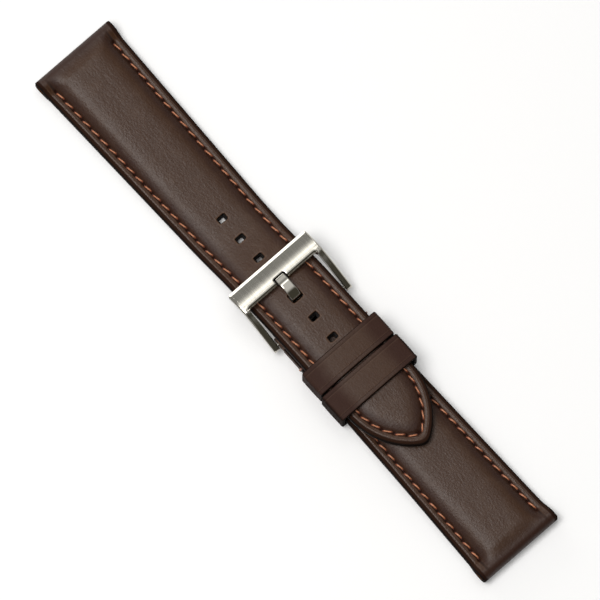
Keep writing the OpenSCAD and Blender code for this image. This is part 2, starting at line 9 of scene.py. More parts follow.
import bmesh
import bpy
import numpy as np
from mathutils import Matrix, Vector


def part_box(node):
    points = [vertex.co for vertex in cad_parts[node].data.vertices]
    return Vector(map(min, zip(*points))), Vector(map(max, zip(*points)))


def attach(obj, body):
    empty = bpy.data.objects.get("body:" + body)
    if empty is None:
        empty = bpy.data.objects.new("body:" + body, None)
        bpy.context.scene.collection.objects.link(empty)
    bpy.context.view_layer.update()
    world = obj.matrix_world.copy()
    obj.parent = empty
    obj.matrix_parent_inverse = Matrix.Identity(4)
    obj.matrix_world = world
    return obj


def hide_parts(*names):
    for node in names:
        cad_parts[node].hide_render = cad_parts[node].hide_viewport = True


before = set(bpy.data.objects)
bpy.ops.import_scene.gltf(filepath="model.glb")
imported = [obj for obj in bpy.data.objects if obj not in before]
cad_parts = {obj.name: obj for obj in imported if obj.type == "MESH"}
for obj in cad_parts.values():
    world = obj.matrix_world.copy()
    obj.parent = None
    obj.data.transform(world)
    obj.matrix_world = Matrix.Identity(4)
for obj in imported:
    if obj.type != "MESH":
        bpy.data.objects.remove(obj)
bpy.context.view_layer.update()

bl_info = {
    "name": "Padded Leather Watch Strap",
    "version": (1, 0, 0),
    "blender": (4, 5, 0),
    "location": "3D View > Sidebar > Watch Strap",
    "description": "Dresses the packed watch strap with leather, thread and steel",
    "category": "Add Mesh",
}

MM = 0.001


def tone(red, green, blue):
    """Linear colour of display values from 0 to 255."""
    share = np.array([red, green, blue]) / 255
    linear = np.where(share <= 0.04045, share / 12.92, ((share + 0.055) / 1.055) ** 2.4)
    return tuple(float(v) for v in linear)


def length(name, description, millimetres):
    """A length shown in the file's unit."""
    return bpy.props.FloatProperty(
        name=name, description=description, default=millimetres * MM, min=0, unit="LENGTH", precision=5
    )


def colour(name, description, red, green, blue):
    """A colour, given in display values."""
    return bpy.props.FloatVectorProperty(
        name=name, description=description, default=tone(red, green, blue), min=0, max=1, subtype="COLOR"
    )


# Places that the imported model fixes, in millimetres
tail_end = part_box("tail_bar_tunnel")[0].x / MM
short_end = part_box("short_bar_tunnel")[1].x / MM
bar_low, bar_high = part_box("spring_bar_tube")
bar_x = (bar_low.x + bar_high.x) / 2 / MM
bar_z = (bar_low.z + bar_high.z) / 2 / MM
fixed_box = np.array(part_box("fixed_keeper")) / MM
free_box = np.array(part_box("free_keeper")) / MM


class StrapSizes(bpy.types.PropertyGroup):
    """Sizes of the two straps."""

    lug_width: length("Width at the watch", "Width of both straps at the watch", 21.8)
    tail_width: length("Long strap's width", "Width of the long strap from its holes to its tip", 18.8)
    short_width: length("Short strap's width", "Width of the short strap at the buckle", 19.3)
    short_flare: bpy.props.FloatProperty(
        name="Short strap's flare", default=1.6, min=1,
        description="Power at which the short strap widens to the watch",
    )
    tail_length: length("Long strap's length", "Watch end to tip", 120.0)
    lug_thickness: length("Thickness at the watch", "Padded middle near the watch", 4.4)
    thin_thickness: length("Thickness at the buckle", "Padded middle of the long strap", 2.8)
    lug_edge: length("Edge at the watch", "Thickness of the stitched edge near the watch", 2.4)
    thin_edge: length("Edge at the buckle", "Thickness of the stitched edge at the buckle", 2.0)
    leather: length("Leather", "Thickness of the top leather and of the lining", 0.8)
    nose_radius: length("Nose radius", "Radius of the rounded nose at each watch end", 1.9)
    nose_length: length("Nose length", "Length of the nose along the strap", 4.3)
    nose_bulge: length("Nose bulge", "How far the nose stands out past each edge", 0.1)
    tunnel_radius: length("Tunnel radius", "Radius of the tunnel for the watch's spring bar", 1.0)
    first_hole: length("First hole", "Watch end to the first hole", 51.1)
    hole_pitch: length("Hole pitch", "Distance between holes", 6.2)
    hole_length: length("Hole length", "Length of a hole along the strap", 1.6)
    hole_width: length("Hole width", "Width of a hole across the strap", 2.3)
    used_length: length("Used hole's length", "Length of the stretched hole that the tongue is in", 2.9)
    used_width: length("Used hole's width", "Width of the hole that the tongue is in", 3.0)
    used_to_bar: length("Used hole to bar", "Distance from the hole in use to the buckle bar", 5.0)
    seam_in: length("Seam distance", "Distance of the stitches from the edge", 2.25)
    stitch_pitch: length("Stitch pitch", "Distance between stitches", 2.85)
    thread_width: length("Thread width", "Width of the thread", 0.52)
    groove: length("Groove", "Depth of the groove that the stitches lie in", 0.28)


class KeeperSizes(bpy.types.PropertyGroup):
    """Sizes of the two keepers."""

    thickness: length("Thickness", "Thickness of the keeper leather", 1.0)
    top_corner: length("Top corner", "Outer radius of the upper corners", 0.95)
    low_corner: length("Lower corner", "Outer radius of the lower corners", 1.1)
    crease_in: length("Crease", "Distance of the pressed line from each edge", 1.0)
    crown: length("Crown", "Height that the top loses at its sides", 0.7)


class BuckleSizes(bpy.types.PropertyGroup):
    """Sizes of the buckle frame and its tongue."""

    reach: length("Reach", "Buckle bar to the front of the frame", 15.05)
    window_length: length("Window length", "Buckle bar to the back edge of the front bar", 9.4)
    window_width: length("Window width", "Width between the arms", 20)
    arm_width: length("Arm width", "Thickness of an arm across the strap", 1.45)
    front_thickness: length("Front bar", "Thickness of the front bar", 1.75)
    eye_radius: length("Arm end", "Radius of the arms' ends round the spring bar", 1.05)
    bevel: length("Bevel", "Width of the polished bevel along the front", 0.65)
    tongue_width: length("Tongue width", "Width of the tongue", 2.5)
    tongue_thickness: length("Tongue thickness", "Thickness of the tongue", 1.1)
    tongue_reach: length("Tongue reach", "Buckle bar to the tongue's tip", 10.8)
    notch_depth: length("Notch", "Depth of the notch that the tongue's tip lies in", 1.1)


class FinishColours(bpy.types.PropertyGroup):
    """Colours of the finishes."""

    leather: colour("Leather", "Middle tone of the top leather", 60, 37, 21)
    # The worn tone also makes the painted highlights on the crease lines and on the holes' lips.
    leather_light: colour("Worn leather", "Greyer tone where the leather is rubbed", 78, 57, 43)
    # The burnished tone also makes painted shade in the creases, the seam groove and the holes and towards the
    # keepers' ends; along the seams it is partly painted shade.
    leather_dark: colour("Burnished leather", "Reddish tone along the seams", 44, 21, 12)
    edge: colour("Edge paint", "Paint on the cut edges", 14, 8, 6)
    lining: colour("Lining", "Lining leather", 84, 62, 50)
    thread: colour("Thread", "Lit side of the thread", 192, 126, 86)
    thread_dark: colour("Thread in shade", "Ends of the stitches", 98, 38, 16)
    steel: colour("Steel", "Satin and polished steel", 192, 188, 178)
    floor: colour("Floor", "Pale floor", 254, 254, 254)


def ease(t):
    """Smooth step: 0 below 0, 1 above 1, and 3u squared less 2u cubed between."""
    u = np.clip(t, 0.0, 1.0)
    return u * u * (3 - 2 * u)


def mix(a, b, t):
    """Straight blend from a to b."""
    return a + (b - a) * t


def hill(x, width):
    """Bell of height 1: e to the power -(x / width)^2."""
    return np.exp(-((x / width) ** 2))


def half_circle(x, radius):
    """Height of a circle of this radius at x: the root of radius^2 - x^2, and 0 beyond it."""
    return np.sqrt(np.maximum(0, radius**2 - x**2))


def rounding(distance, radius):
    """Drop of a quarter-round edge at a distance in from the edge: the radius less the circle's height."""
    inward = np.clip(radius - distance, 0, radius)
    return radius - half_circle(inward, radius)


def unit(vectors):
    """Vectors divided by their lengths."""
    return vectors / np.linalg.norm(vectors, axis=-1, keepdims=True)


def round_rectangle(low, high, half, corner):
    """Outline of a rectangle from low to high and from -half to half, with round corners: (u, v)."""
    quarter = np.radians(np.linspace(0, 90, 4))
    u, v = [], []
    for middle_u, middle_v, first in (
        (high - corner, half - corner, 0), (low + corner, half - corner, 90),
        (low + corner, corner - half, 180), (high - corner, corner - half, 270),
    ):
        angle = quarter + math.radians(first)
        u.append(middle_u + corner * np.cos(angle))
        v.append(middle_v + corner * np.sin(angle))
    return np.concatenate(u), np.concatenate(v)


def millimetres(group, kind, *others):
    """The lengths of a property group by name, in millimetres, less the names that aren't lengths."""
    return {name: getattr(group, name) / MM for name in kind.__annotations__ if name not in others}


class Skin:
    """Points and faces of one closed piece, gathered grid by grid, in millimetres."""

    def __init__(self):
        self.points = []
        self.places = []
        self.faces = []
        self.count = 0

    def grid(self, x, y, z, place):
        """Adds a grid of points and gives their numbers in the same arrangement.

        Place is three values that the finishes read, such as distances from an edge.
        """
        x, y, z = np.broadcast_arrays(x, y, z)
        points = np.stack([x, y, z], axis=-1).astype(float)
        place = np.stack([np.broadcast_to(p, x.shape) for p in place], axis=-1).astype(float)
        numbers = np.arange(x.size).reshape(x.shape) + self.count
        self.points.append(points.reshape(-1, 3))
        self.places.append(place.reshape(-1, 3))
        self.count += x.size
        return numbers

    def at(self, numbers):
        """The points with these numbers."""
        return np.concatenate(self.points)[numbers]

    def quads(self, numbers, around=False, blocks=()):
        """Faces between neighbouring rows of numbers.

        A grid that goes around joins its last column to its first. Blocks of (first row, last row,
        first column, last column) stay open.
        """
        if around:
            numbers = np.concatenate([numbers, numbers[..., :1]], axis=-1)
        a = numbers[..., :-1, :-1]
        b = numbers[..., :-1, 1:]
        c = numbers[..., 1:, 1:]
        d = numbers[..., 1:, :-1]
        keep = np.ones(a.shape, bool)
        for top, bottom, left, right in blocks:
            keep[..., top:bottom, left:right] = False
        self.faces.append(np.stack([a, b, c, d], axis=-1)[keep])

    def disc(self, ring, centre, place):
        """Closes a ring of numbers with triangles to a middle point."""
        middle = self.grid(*[np.array([[c]]) for c in centre], place)[0, 0]
        self.faces.append(np.stack([ring, np.roll(ring, -1), np.full_like(ring, middle)], axis=-1))

    def piece(self, name, sharp):
        """Makes the mesh object: doubles merged, faces turned outwards, smooth up to an angle in degrees."""
        points = np.concatenate(self.points) * MM
        mesh = bpy.data.meshes.new(name)
        faces = [face for group in self.faces for face in group.tolist()]
        mesh.from_pydata(points.tolist(), [], faces)
        place = mesh.attributes.new("place", "FLOAT_VECTOR", "POINT")
        place.data.foreach_set("vector", np.concatenate(self.places).astype(np.float32).ravel())
        mesh.validate()
        work = bmesh.new()
        work.from_mesh(mesh)
        bmesh.ops.remove_doubles(work, verts=work.verts, dist=1e-7)
        bmesh.ops.dissolve_degenerate(work, edges=work.edges, dist=1e-8)
        bmesh.ops.recalc_face_normals(work, faces=work.faces)
        work.to_mesh(mesh)
        work.free()
        mesh.polygons.foreach_set("use_smooth", np.ones(len(mesh.polygons), bool))
        mesh.set_sharp_from_angle(angle=math.radians(sharp))
        piece = bpy.data.objects.new(name, mesh)
        bpy.context.scene.collection.objects.link(piece)
        return piece


class Strap:
    """One strap's plan and section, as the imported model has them.

    A row is a place along the strap: x, and for the long strap's tip the share of the way round the
    pointed arch. A line is a place across it: its distance in from the edge, and its share of the way out
    from the middle. Layer is the gap between layers. The padding starts at pad_in from the edge, and
    lines closer in than crown_in follow the middle. The short strap's underside is at strap_z over the
    buckle loop, and the long strap's is at lay_z over it.
    """

    def __init__(self, sizes, long):
        s = millimetres(sizes, StrapSizes, "short_flare")
        self.flare = sizes.short_flare
        self.s = s
        self.long = long
        self.layer = 0.02
        self.pad_in = s["seam_in"] + 0.4
        self.crown_in = self.pad_in + 2.4
        self.strap_z = 1.1
        self.short_thick = 3.2
        self.lay_z = self.strap_z + self.short_thick + 0.1
        self.arch_r = s["tail_width"]
        self.arch_x = tail_end + s["tail_length"] - s["tail_width"] * math.sqrt(3) / 2 + 0.5
        self.seam_r = self.arch_r - s["seam_in"]
        self.seam_side = self.arch_r - s["tail_width"] / 2
        self.seam_arc = self.seam_r * math.acos(self.seam_side / self.seam_r)
        self.short_run = short_end - bar_x
        self.inner_last = None if long else self.from_end(bar_x + LOOP_END + 0.4)
        if long:
            self.seam_start = tail_end + s["nose_length"] + 0.3
            straight = self.arch_x - self.seam_start
            self.seam_length = straight + self.seam_arc - 0.3
        else:
            self.seam_start = short_end - s["nose_length"] - 0.3
            self.seam_length = self.seam_start - (bar_x + 2.7)
        self.stitches = round(self.seam_length / s["stitch_pitch"])
        self.pitch = self.seam_length / self.stitches

    def from_end(self, x):
        """Distance from the watch end."""
        return x - tail_end if self.long else short_end - x

    def base(self, x):
        """Height of the underside: the long strap rises to the buckle, the short one leaves it level.

        Both ways are smooth steps, and the short strap's is over where its thickness is full.
        """
        if self.long:
            return self.lay_z * ease((x - bar_x + 30) / 28)
        return self.strap_z * self.taper(x)

    def taper(self, x):
        """Smooth step from 0 at the watch end to 1 where the strap is thinnest."""
        nose = self.s["nose_length"]
        if self.long:
            return ease((x - tail_end - nose) / (bar_x - 20 - tail_end - nose))
        level = 40
        return 1 - ease((x - bar_x - level) / (self.short_run - level - nose))

    def middle(self, x):
        """Thickness of the padded middle."""
        thin = self.s["thin_thickness"] if self.long else self.short_thick
        return mix(self.s["lug_thickness"], thin, self.taper(x))

    def edge(self, x):
        """Thickness of the stitched edge. The short strap's is full height over the buckle loop."""
        edge = mix(self.s["lug_edge"], self.s["thin_edge"], self.taper(x))
        if self.long:
            return edge
        return mix(self.short_thick, edge, ease((x - bar_x - LOOP_END - 0.2) / 7.6))

    def half(self, x):
        """Half width, with the nose's bulge and its rounded corners at the watch end."""
        s = self.s
        if self.long:
            share = np.minimum(1, (x - tail_end) / (s["first_hole"] + 10))
            half = mix(s["lug_width"], s["tail_width"], share) / 2
        else:
            flare = np.maximum(0, (x - bar_x) / self.short_run) ** self.flare
            half = mix(s["short_width"], s["lug_width"], flare) / 2
        end = self.from_end(x)
        bulge = s["nose_bulge"] * (1 - ease((end - 4.0) / 1.6))
        return half + bulge - rounding(end, 0.55)

    def rows(self, step, first=0.0, last=None):
        """Rows between two distances from the watch end, or on to the strap's other end: (x, arch share)."""
        nose = self.s["nose_radius"]
        stop = self.from_end(self.arch_x if self.long else bar_x + 1.9)
        curved = []
        if first == 0.0:
            curved = nose * (1 - np.cos(np.linspace(0.02, math.pi / 2, 12)))[:-1]
            first = nose
        reach = stop if last is None else last
        even = np.linspace(first, reach, max(2, round((reach - first) / step)) + 1)
        end = np.concatenate([curved, even])
        arch = np.zeros_like(end)
        if self.long and last is None:
            turn = np.linspace(0, 1, max(8, round(20 / step)) + 1)[1:]
            turn = 1 - (1 - turn) ** 1.15
            end = np.concatenate([end, np.full_like(turn, stop)])
            arch = np.concatenate([arch, turn])
        x = tail_end + end if self.long else short_end - end
        return x, arch

    def place(self, x, arch, inward, share):
        """X and Y where rows meet lines. Round the tip, each line is an arc about the far side's centre."""
        width = (self.half(x) - inward) * share
        if not self.long:
            return np.broadcast_to(x, width.shape), width
        r = self.arch_r - inward
        y = r * np.cos(np.arccos(self.seam_side / r) * arch) - self.seam_side
        round_y = np.sqrt(y**2 + arch**4)
        out = np.sqrt(np.maximum(0.0001, r**2 - (round_y + self.seam_side) ** 2))
        out = out * (1 - 0.08 * (1 - np.abs(share)))
        turned = arch > 0
        return np.where(turned, self.arch_x + out, x), np.where(turned, y * share, width)

    def seam_at(self, x, arch):
        """Distance along the seam from its start at the watch end."""
        if not self.long:
            return self.seam_start - x
        return np.where(arch > 0, self.arch_x + self.seam_arc * arch, x) - self.seam_start

    def crown(self, x, inward, share, arch):
        """Share of the padding's height: 1 less the distance out from the middle to the power 4.6."""
        half = np.where(arch > 0, self.s["tail_width"] / 2, self.half(x))
        fade = 1 - arch**2
        deep = inward + (1 - np.abs(share)) * (half - self.crown_in) * fade
        out = np.clip((half - deep) / (half - self.pad_in), 0, 1)
        return 1 - out**4.6

    def top(self, x, arch, inward, share):
        """Height of the top leather over the strap's base."""
        s = self.s
        edge, middle = self.edge(x), self.middle(x)
        section = edge + (middle - edge) * self.crown(x, inward, share, arch)
        end = self.from_end(x)
        nose = 2 * s["nose_radius"] - self.under(x)
        height = mix(nose, section, ease((end - 1.7) / 3.4))
        flange = ease((end - 3.6) / 1.4)
        if not self.long:
            flange = flange * ease((x - bar_x - 2.2) / 1.5)
        along, hole = self.needle(x, arch, inward, 0.36)
        open_seam = (along > -0.3) & (along < self.stitches + 0.3)
        height = height - flange * s["groove"] * hill(inward - s["seam_in"], 0.42)
        height = height - flange * 0.3 * hole * open_seam
        for crease_in, deep, width in ((0.95, 0.07, 0.13), (1.55, 0.04, 0.12)):
            height = height - flange * deep * hill(inward - crease_in, width)
        return height - rounding(inward, 0.55) * np.minimum(1, end / 1.2)

    def needle(self, x, arch, inward, width):
        """Distance along the seam in stitches, and the share of a needle hole's depth at any place."""
        along = self.seam_at(x, arch) / self.pitch
        hole = hill((along - np.round(along)) * self.pitch, 0.34) * hill(inward - self.s["seam_in"], width)
        return along, hole

    def under(self, x):
        """Height of the nose's underside: a quarter round up to the end."""
        return rounding(self.from_end(x), self.s["nose_radius"])

    def hole_plan(self, shrink=1.0):
        """Holes as (x, half length, half width). The short strap has none. The tongue's is pulled open.

        In the top leather, at shrink 1, the tongue's hole closes up a little behind the tongue.
        """
        if not self.long:
            return []
        s = self.s
        used = round((bar_x - s["used_to_bar"] - tail_end - s["first_hole"]) / s["hole_pitch"])
        plan = []
        for i in range(HOLES):
            x = tail_end + s["first_hole"] + i * s["hole_pitch"]
            if i == used:
                back = 0.2 if shrink == 1 else 0
                plan.append((x - back, s["used_length"] / 2 - back, s["used_width"] / 2))
            else:
                plan.append((x, s["hole_length"] / 2 * shrink, s["hole_width"] / 2 * shrink))
        return plan


def lines(inward, shares, crown_in):
    """Lines from one edge to the other: distances in from the edge, then shares of the rest to the middle."""
    depth = np.concatenate([inward, np.full(len(shares), crown_in)])
    share = np.concatenate([np.ones(len(inward)), shares])
    return np.concatenate([depth, depth[-2::-1]]), np.concatenate([-share, share[-2::-1]])


def blocks_for(strap, x, arch, share):
    """Blocks of the grid to leave out round each hole: (first row, last row, first column, last column)."""
    middle = (len(share) - 1) // 2
    side = int(np.sum(-share[: middle + 1] <= 0.5 + 1e-9)) - 1
    found = []
    for centre, half_long, _ in strap.hole_plan():
        near = np.abs(x - centre) + 1000 * (arch > 0)
        rows = np.nonzero(near < half_long + 1.0)[0]
        found.append((rows[0], rows[-1], middle - side, middle + side))
    return found


def rim(numbers, block):
    """Numbers round a block of a grid, once round."""
    top, bottom, left, right = block
    return np.concatenate([
        numbers[top, left:right],
        numbers[top:bottom, right],
        numbers[bottom, right:left:-1],
        numbers[bottom:top:-1, left],
    ])


def punch(skin, strap, hole, outer, inner, top_z, low_z, lip):
    """Bridges the rims round one hole, outer above and inner below, with a round lip on top.

    The outline is a rectangle with round corners, at a distance r from the hole's middle at angle a:
    r = (|cos a / half length|^6 + |sin a / half width|^6)^(-1/6).
    """
    centre, half_long, half_wide = hole
    rim_x, rim_y, _ = skin.at(outer).T
    angle = np.arctan2(rim_y, rim_x - centre)
    full = np.hypot(rim_x - centre, rim_y)
    out = (np.abs(np.cos(angle) / half_long) ** 6 + np.abs(np.sin(angle) / half_wide) ** 6) ** (-1 / 6)

    def ring_at(distance, height, drop, zone):
        x, y = centre + distance * np.cos(angle), distance * np.sin(angle)
        share = np.abs(y) / (strap.half(x) - strap.crown_in)
        return skin.grid(x, y, height(x, 0.0, x, strap.crown_in, share) - drop, (0.0, 6.0, zone))

    rings = [outer]
    for t in (0.3, 0.55, 0.75, 0.9):
        rings.append(ring_at(mix(full, out + lip, t), top_z, 0.0, -0.9 * t))
    for turn in np.radians([0, 30, 60, 90]):
        rings.append(ring_at(out + lip * (1 - math.sin(turn)), top_z, lip * (1 - math.cos(turn)), -1.0))
    rings += [ring_at(out, low_z, 0.0, -3.0), inner]
    skin.quads(np.stack(rings), around=True)


def bore(skin, strap, outlines):
    """The tunnel of the nose, from one side wall's outline to the other's.

    On each side come rings from the wall's outline to a circle, a round lip and the start of the bore.
    """
    s = strap.s
    middle_z = s["nose_radius"]
    middle_x = tail_end + middle_z if strap.long else short_end - middle_z
    face = s["lug_width"] / 2 + s["nose_bulge"]
    radius, lip, swell = s["tunnel_radius"], 0.2, 0.06
    mouths = []
    for outline, side in zip(outlines, (-1, 1)):
        rx, ry, rz = skin.at(outline).T
        angle = np.arctan2(rz - middle_z, rx - middle_x)
        full = np.hypot(rx - middle_x, rz - middle_z)
        steps = [
            (mix(full, radius + lip, t), mix(ry * side, face, t) + swell * math.sin(math.pi * t), 1.0)
            for t in (0.35, 0.7)
        ]
        steps += [(radius + lip, face, 1.0), (radius + 0.1, face - 0.03, 4.0)]
        steps += [(radius + 0.03, face - 0.1, 4.0), (radius, face - lip, 4.0), (radius, face - 2.5, 4.0)]
        rings = [outline]
        for r, y, zone in steps:
            rings.append(skin.grid(
                middle_x + r * np.cos(angle), side * y, middle_z + r * np.sin(angle), (0.0, 0.0, zone)))
        skin.quads(np.stack(rings), around=True)
        mouths.append(rings[-1])
    skin.quads(np.stack(mouths), around=True)


def leather_layer(strap, rows, top, low, top_z, low_z, tunnel_row=None, lip=0.2, shrink=1.0):
    """One layer of a strap as a closed skin: a top and a bottom over the same rows, side walls between them.

    The long strap's tip closes where its two halves meet. Punched holes are bridged from the grid to the
    hole's outline, times shrink, with a round lip. With a tunnel row, the rows up to it are the nose, which
    has the tunnel instead of side walls and a wall at its end.
    """
    skin = Skin()
    x, arch = rows
    row_x, row_arch = x[:, None], arch[:, None]
    seam = strap.seam_at(row_x, row_arch)
    sheets, openings = [], []
    for (inward, share), height, zone in ((top, top_z, 0.0), (low, low_z, 2.0)):
        px, py = strap.place(row_x, row_arch, inward, share)
        pz = height(row_x, row_arch, px, inward, share)
        deep = inward + (1 - np.abs(share)) * (strap.half(row_x) - strap.crown_in)
        sheets.append(skin.grid(px, py, pz, (seam, deep, zone)))
        openings.append(blocks_for(strap, x, arch, share))
    for sheet, blocks in zip(sheets, openings):
        skin.quads(sheet, blocks=blocks)
    over, below = sheets

    start = tunnel_row or 0
    walls = []
    for edge in (0, -1):
        upper, lower = (skin.at(sheet[start:, edge])[:, None] for sheet in sheets)
        points = mix(upper, lower, np.array([1 / 3, 2 / 3])[None, :, None])
        wall = skin.grid(upper[..., 0], upper[..., 1], points[..., 2], (seam[start:], 0.0, 1.0))
        skin.quads(np.concatenate([over[start:, edge][:, None], wall, below[start:, edge][:, None]], axis=1))
        walls.append(wall)

    for hole, block, low_block in zip(strap.hole_plan(shrink), *openings):
        punch(skin, strap, hole, rim(over, block), rim(below, low_block), top_z, low_z, lip)

    if tunnel_row is not None:
        bore(skin, strap, [
            np.concatenate([over[: start + 1, edge], wall[0], below[start::-1, edge]])
            for edge, wall in ((0, walls[0]), (-1, walls[1]))
        ])

    for end in (0,) if strap.long else (0, -1):
        ring = [over[end], below[end][::-1]]
        if end != 0 or tunnel_row is None:
            ring = [over[end], walls[1][end], below[end][::-1], walls[0][end][::-1]]
        ring = np.concatenate(ring)
        skin.disc(ring, skin.at(ring).mean(axis=0), (0.0, 0.0, 1.0))
    return skin


# Lines across a layer: distances in from the edge, then shares of the way out from the middle
FLANGE = [
    0, 0.012, 0.05, 0.11, 0.19, 0.28, 0.38, 0.5, 0.68, 0.8, 0.87, 0.95, 1.03, 1.1, 1.22, 1.4, 1.5, 1.6,
    1.7, 1.8, 1.9, 2.0, 2.1, 2.2, 2.3, 2.4, 2.5, 2.6, 2.7, 2.85, 3.0, 3.2, 3.4, 3.6, 3.85, 4.1, 4.4,
    4.7, 5.05,
]
ACROSS = [0.9, 0.8, 0.7, 0.6, 0.5, 0.4, 0.3, 0.2, 0.1, 0.0]
PLAIN_FLANGE = [0, 0.3, 2.65, 3.5, 5.05]
PLAIN_ACROSS = [0.5, 0.4, 0.3, 0.2, 0.1, 0.0]
LINING_FLANGE = [0, 0.02, 0.07, 0.15, 0.3, 0.8, 1.6, 1.85, 2.0, 2.12, 2.25, 2.38, 2.5, 2.65, 2.9, 4.0, 5.05]
PADDING_FLANGE = [3.5, 3.7, 4.0, 4.5, 5.05]
TAPE_FLANGE = [3.5, 5.05]

# Sizes in millimetres that several pieces share: the tape, and the buckle loop's tabs from the spring bar
TAPE_THICKNESS = 0.2
LOOP_END = 8.2
HOLES = 7


def upper_skin(strap):
    """Top leather with its padded crown, seam groove, punched holes and the nose it is folded round."""
    s = strap.s
    nose = s["nose_length"]
    step = 0.28
    near, far = strap.rows(step, 0.0, nose - 0.02), strap.rows(step, nose)
    rows = [np.concatenate(pair) for pair in zip(near, far)]
    top = lines(FLANGE, ACROSS, strap.crown_in)
    low = lines(PLAIN_FLANGE, PLAIN_ACROSS, strap.crown_in)

    def top_z(row_x, row_arch, px, inward, share):
        return strap.base(px) + strap.top(row_x, row_arch, inward, share)

    def low_z(row_x, row_arch, px, inward, share):
        plain = s["leather"] + strap.layer
        raised = strap.top(row_x, row_arch, inward, share) - s["leather"]
        height = np.where(inward > 3, np.maximum(plain, raised), plain)
        if not strap.long:
            over_loop = row_x < bar_x + LOOP_END + 0.1
            height = np.where(over_loop, strap.short_thick - s["leather"], height)
        folded = strap.from_end(row_x) < nose - 0.01
        return strap.base(px) + np.where(folded, strap.under(row_x), height)

    return leather_layer(strap, rows, top, low, top_z, low_z, tunnel_row=len(near[0]) - 1)


def flat_skin(strap, low_from, low_to, step, inward, first, edge_round=0.0, stitched=False, last=None):
    """A flat layer between two heights over the base, such as the lining, with or without a stitch groove."""
    across = lines(inward, PLAIN_ACROSS, strap.crown_in)

    def top_z(row_x, row_arch, px, deep, share):
        return strap.base(px) + low_to + 0 * (deep + share)

    def low_z(row_x, row_arch, px, deep, share):
        rise = rounding(deep, edge_round) if edge_round else 0.0
        if stitched:
            _, hole = strap.needle(row_x, row_arch, deep, 0.3)
            rise = rise + 0.3 * hill(deep - strap.s["seam_in"], 0.38) + 0.15 * hole
        return strap.base(px) + low_from + rise + 0 * (deep + share)

    rows = strap.rows(step, first, last)
    return leather_layer(strap, rows, across, across, top_z, low_z, lip=0.04, shrink=0.62)


def lining_skin(strap):
    """Lining: flat on top, with round lower edges and a groove for the lower stitches."""
    first = strap.s["nose_length"] + strap.layer
    thick = strap.s["leather"] - (0 if strap.long else strap.layer)
    return flat_skin(strap, 0.0, thick, 0.3, LINING_FLANGE, first, edge_round=0.3, stitched=True)


def tape_skin(strap):
    """Reinforcing tape on the lining."""
    low = strap.s["leather"] + (strap.layer if strap.long else 0)
    first = strap.s["nose_length"]
    return flat_skin(strap, low, low + TAPE_THICKNESS, 1.0, TAPE_FLANGE, first, last=strap.inner_last)


def padding_skin(strap):
    """Felt pad between the tape and the top leather: crowned as the leather above it, thin at its edges."""
    s = strap.s
    rows = strap.rows(0.7, s["nose_length"], strap.inner_last)
    across = lines(PADDING_FLANGE, PLAIN_ACROSS, strap.crown_in)
    low = s["leather"] + TAPE_THICKNESS + 2 * strap.layer
    least = 0.04

    def top_z(row_x, row_arch, px, inward, share):
        raised = strap.top(row_x, row_arch, inward, share) - s["leather"] - strap.layer
        edge_drop = rounding(inward - PADDING_FLANGE[0], 0.25)
        return strap.base(px) + np.maximum(raised - edge_drop, low + least)

    def low_z(row_x, row_arch, px, inward, share):
        return strap.base(px) + low + 0 * (inward + share)

    return leather_layer(strap, rows, across, across, top_z, low_z, lip=0.04, shrink=0.8)


def tube(skin, path, across, up, radius, twist):
    """A two-ply thread along paths, arrays of (thread, step, xyz), with its ends closed.

    Point at angle a: path + radius (1 + 0.13 cos(2a - pi twist (1 + t))) (1 - 0.35 t^4) w, where t runs from
    -1 to 1 along the thread and w = across cos a + 0.85 up sin a.
    """
    count, steps = path.shape[:2]
    angle = np.linspace(0, 2 * math.pi, 10, endpoint=False)
    turn = np.linspace(0, 1, steps)[:, None]
    swell = 1 + 0.13 * np.cos(2 * angle[None, :] - 2 * math.pi * twist * turn)
    swell = swell * (1 - 0.35 * (2 * turn - 1) ** 4)
    ring = across[:, :, None, :] * np.cos(angle)[:, None] + 0.85 * up[:, :, None, :] * np.sin(angle)[:, None]
    points = path[:, :, None, :] + radius * swell[None, :, :, None] * ring
    along = np.broadcast_to(np.linspace(-1, 1, steps)[None, :, None], points.shape[:3])
    own = np.broadcast_to(np.arange(count)[:, None, None] * 0.618 % 1, points.shape[:3])
    numbers = skin.grid(*np.moveaxis(points, -1, 0), (along, own, angle[None, None, :]))
    skin.quads(numbers, around=True)
    for end in (0, -1):
        ends = numbers[:, end]
        centres = skin.grid(*points[:, end].mean(axis=1).T, (along[:, end, 0], own[:, end, 0], 0.0))
        fan = [ends, np.roll(ends, -1, axis=1), np.broadcast_to(centres[:, None], ends.shape)]
        skin.faces.append(np.stack(fan, axis=-1).reshape(-1, 3))


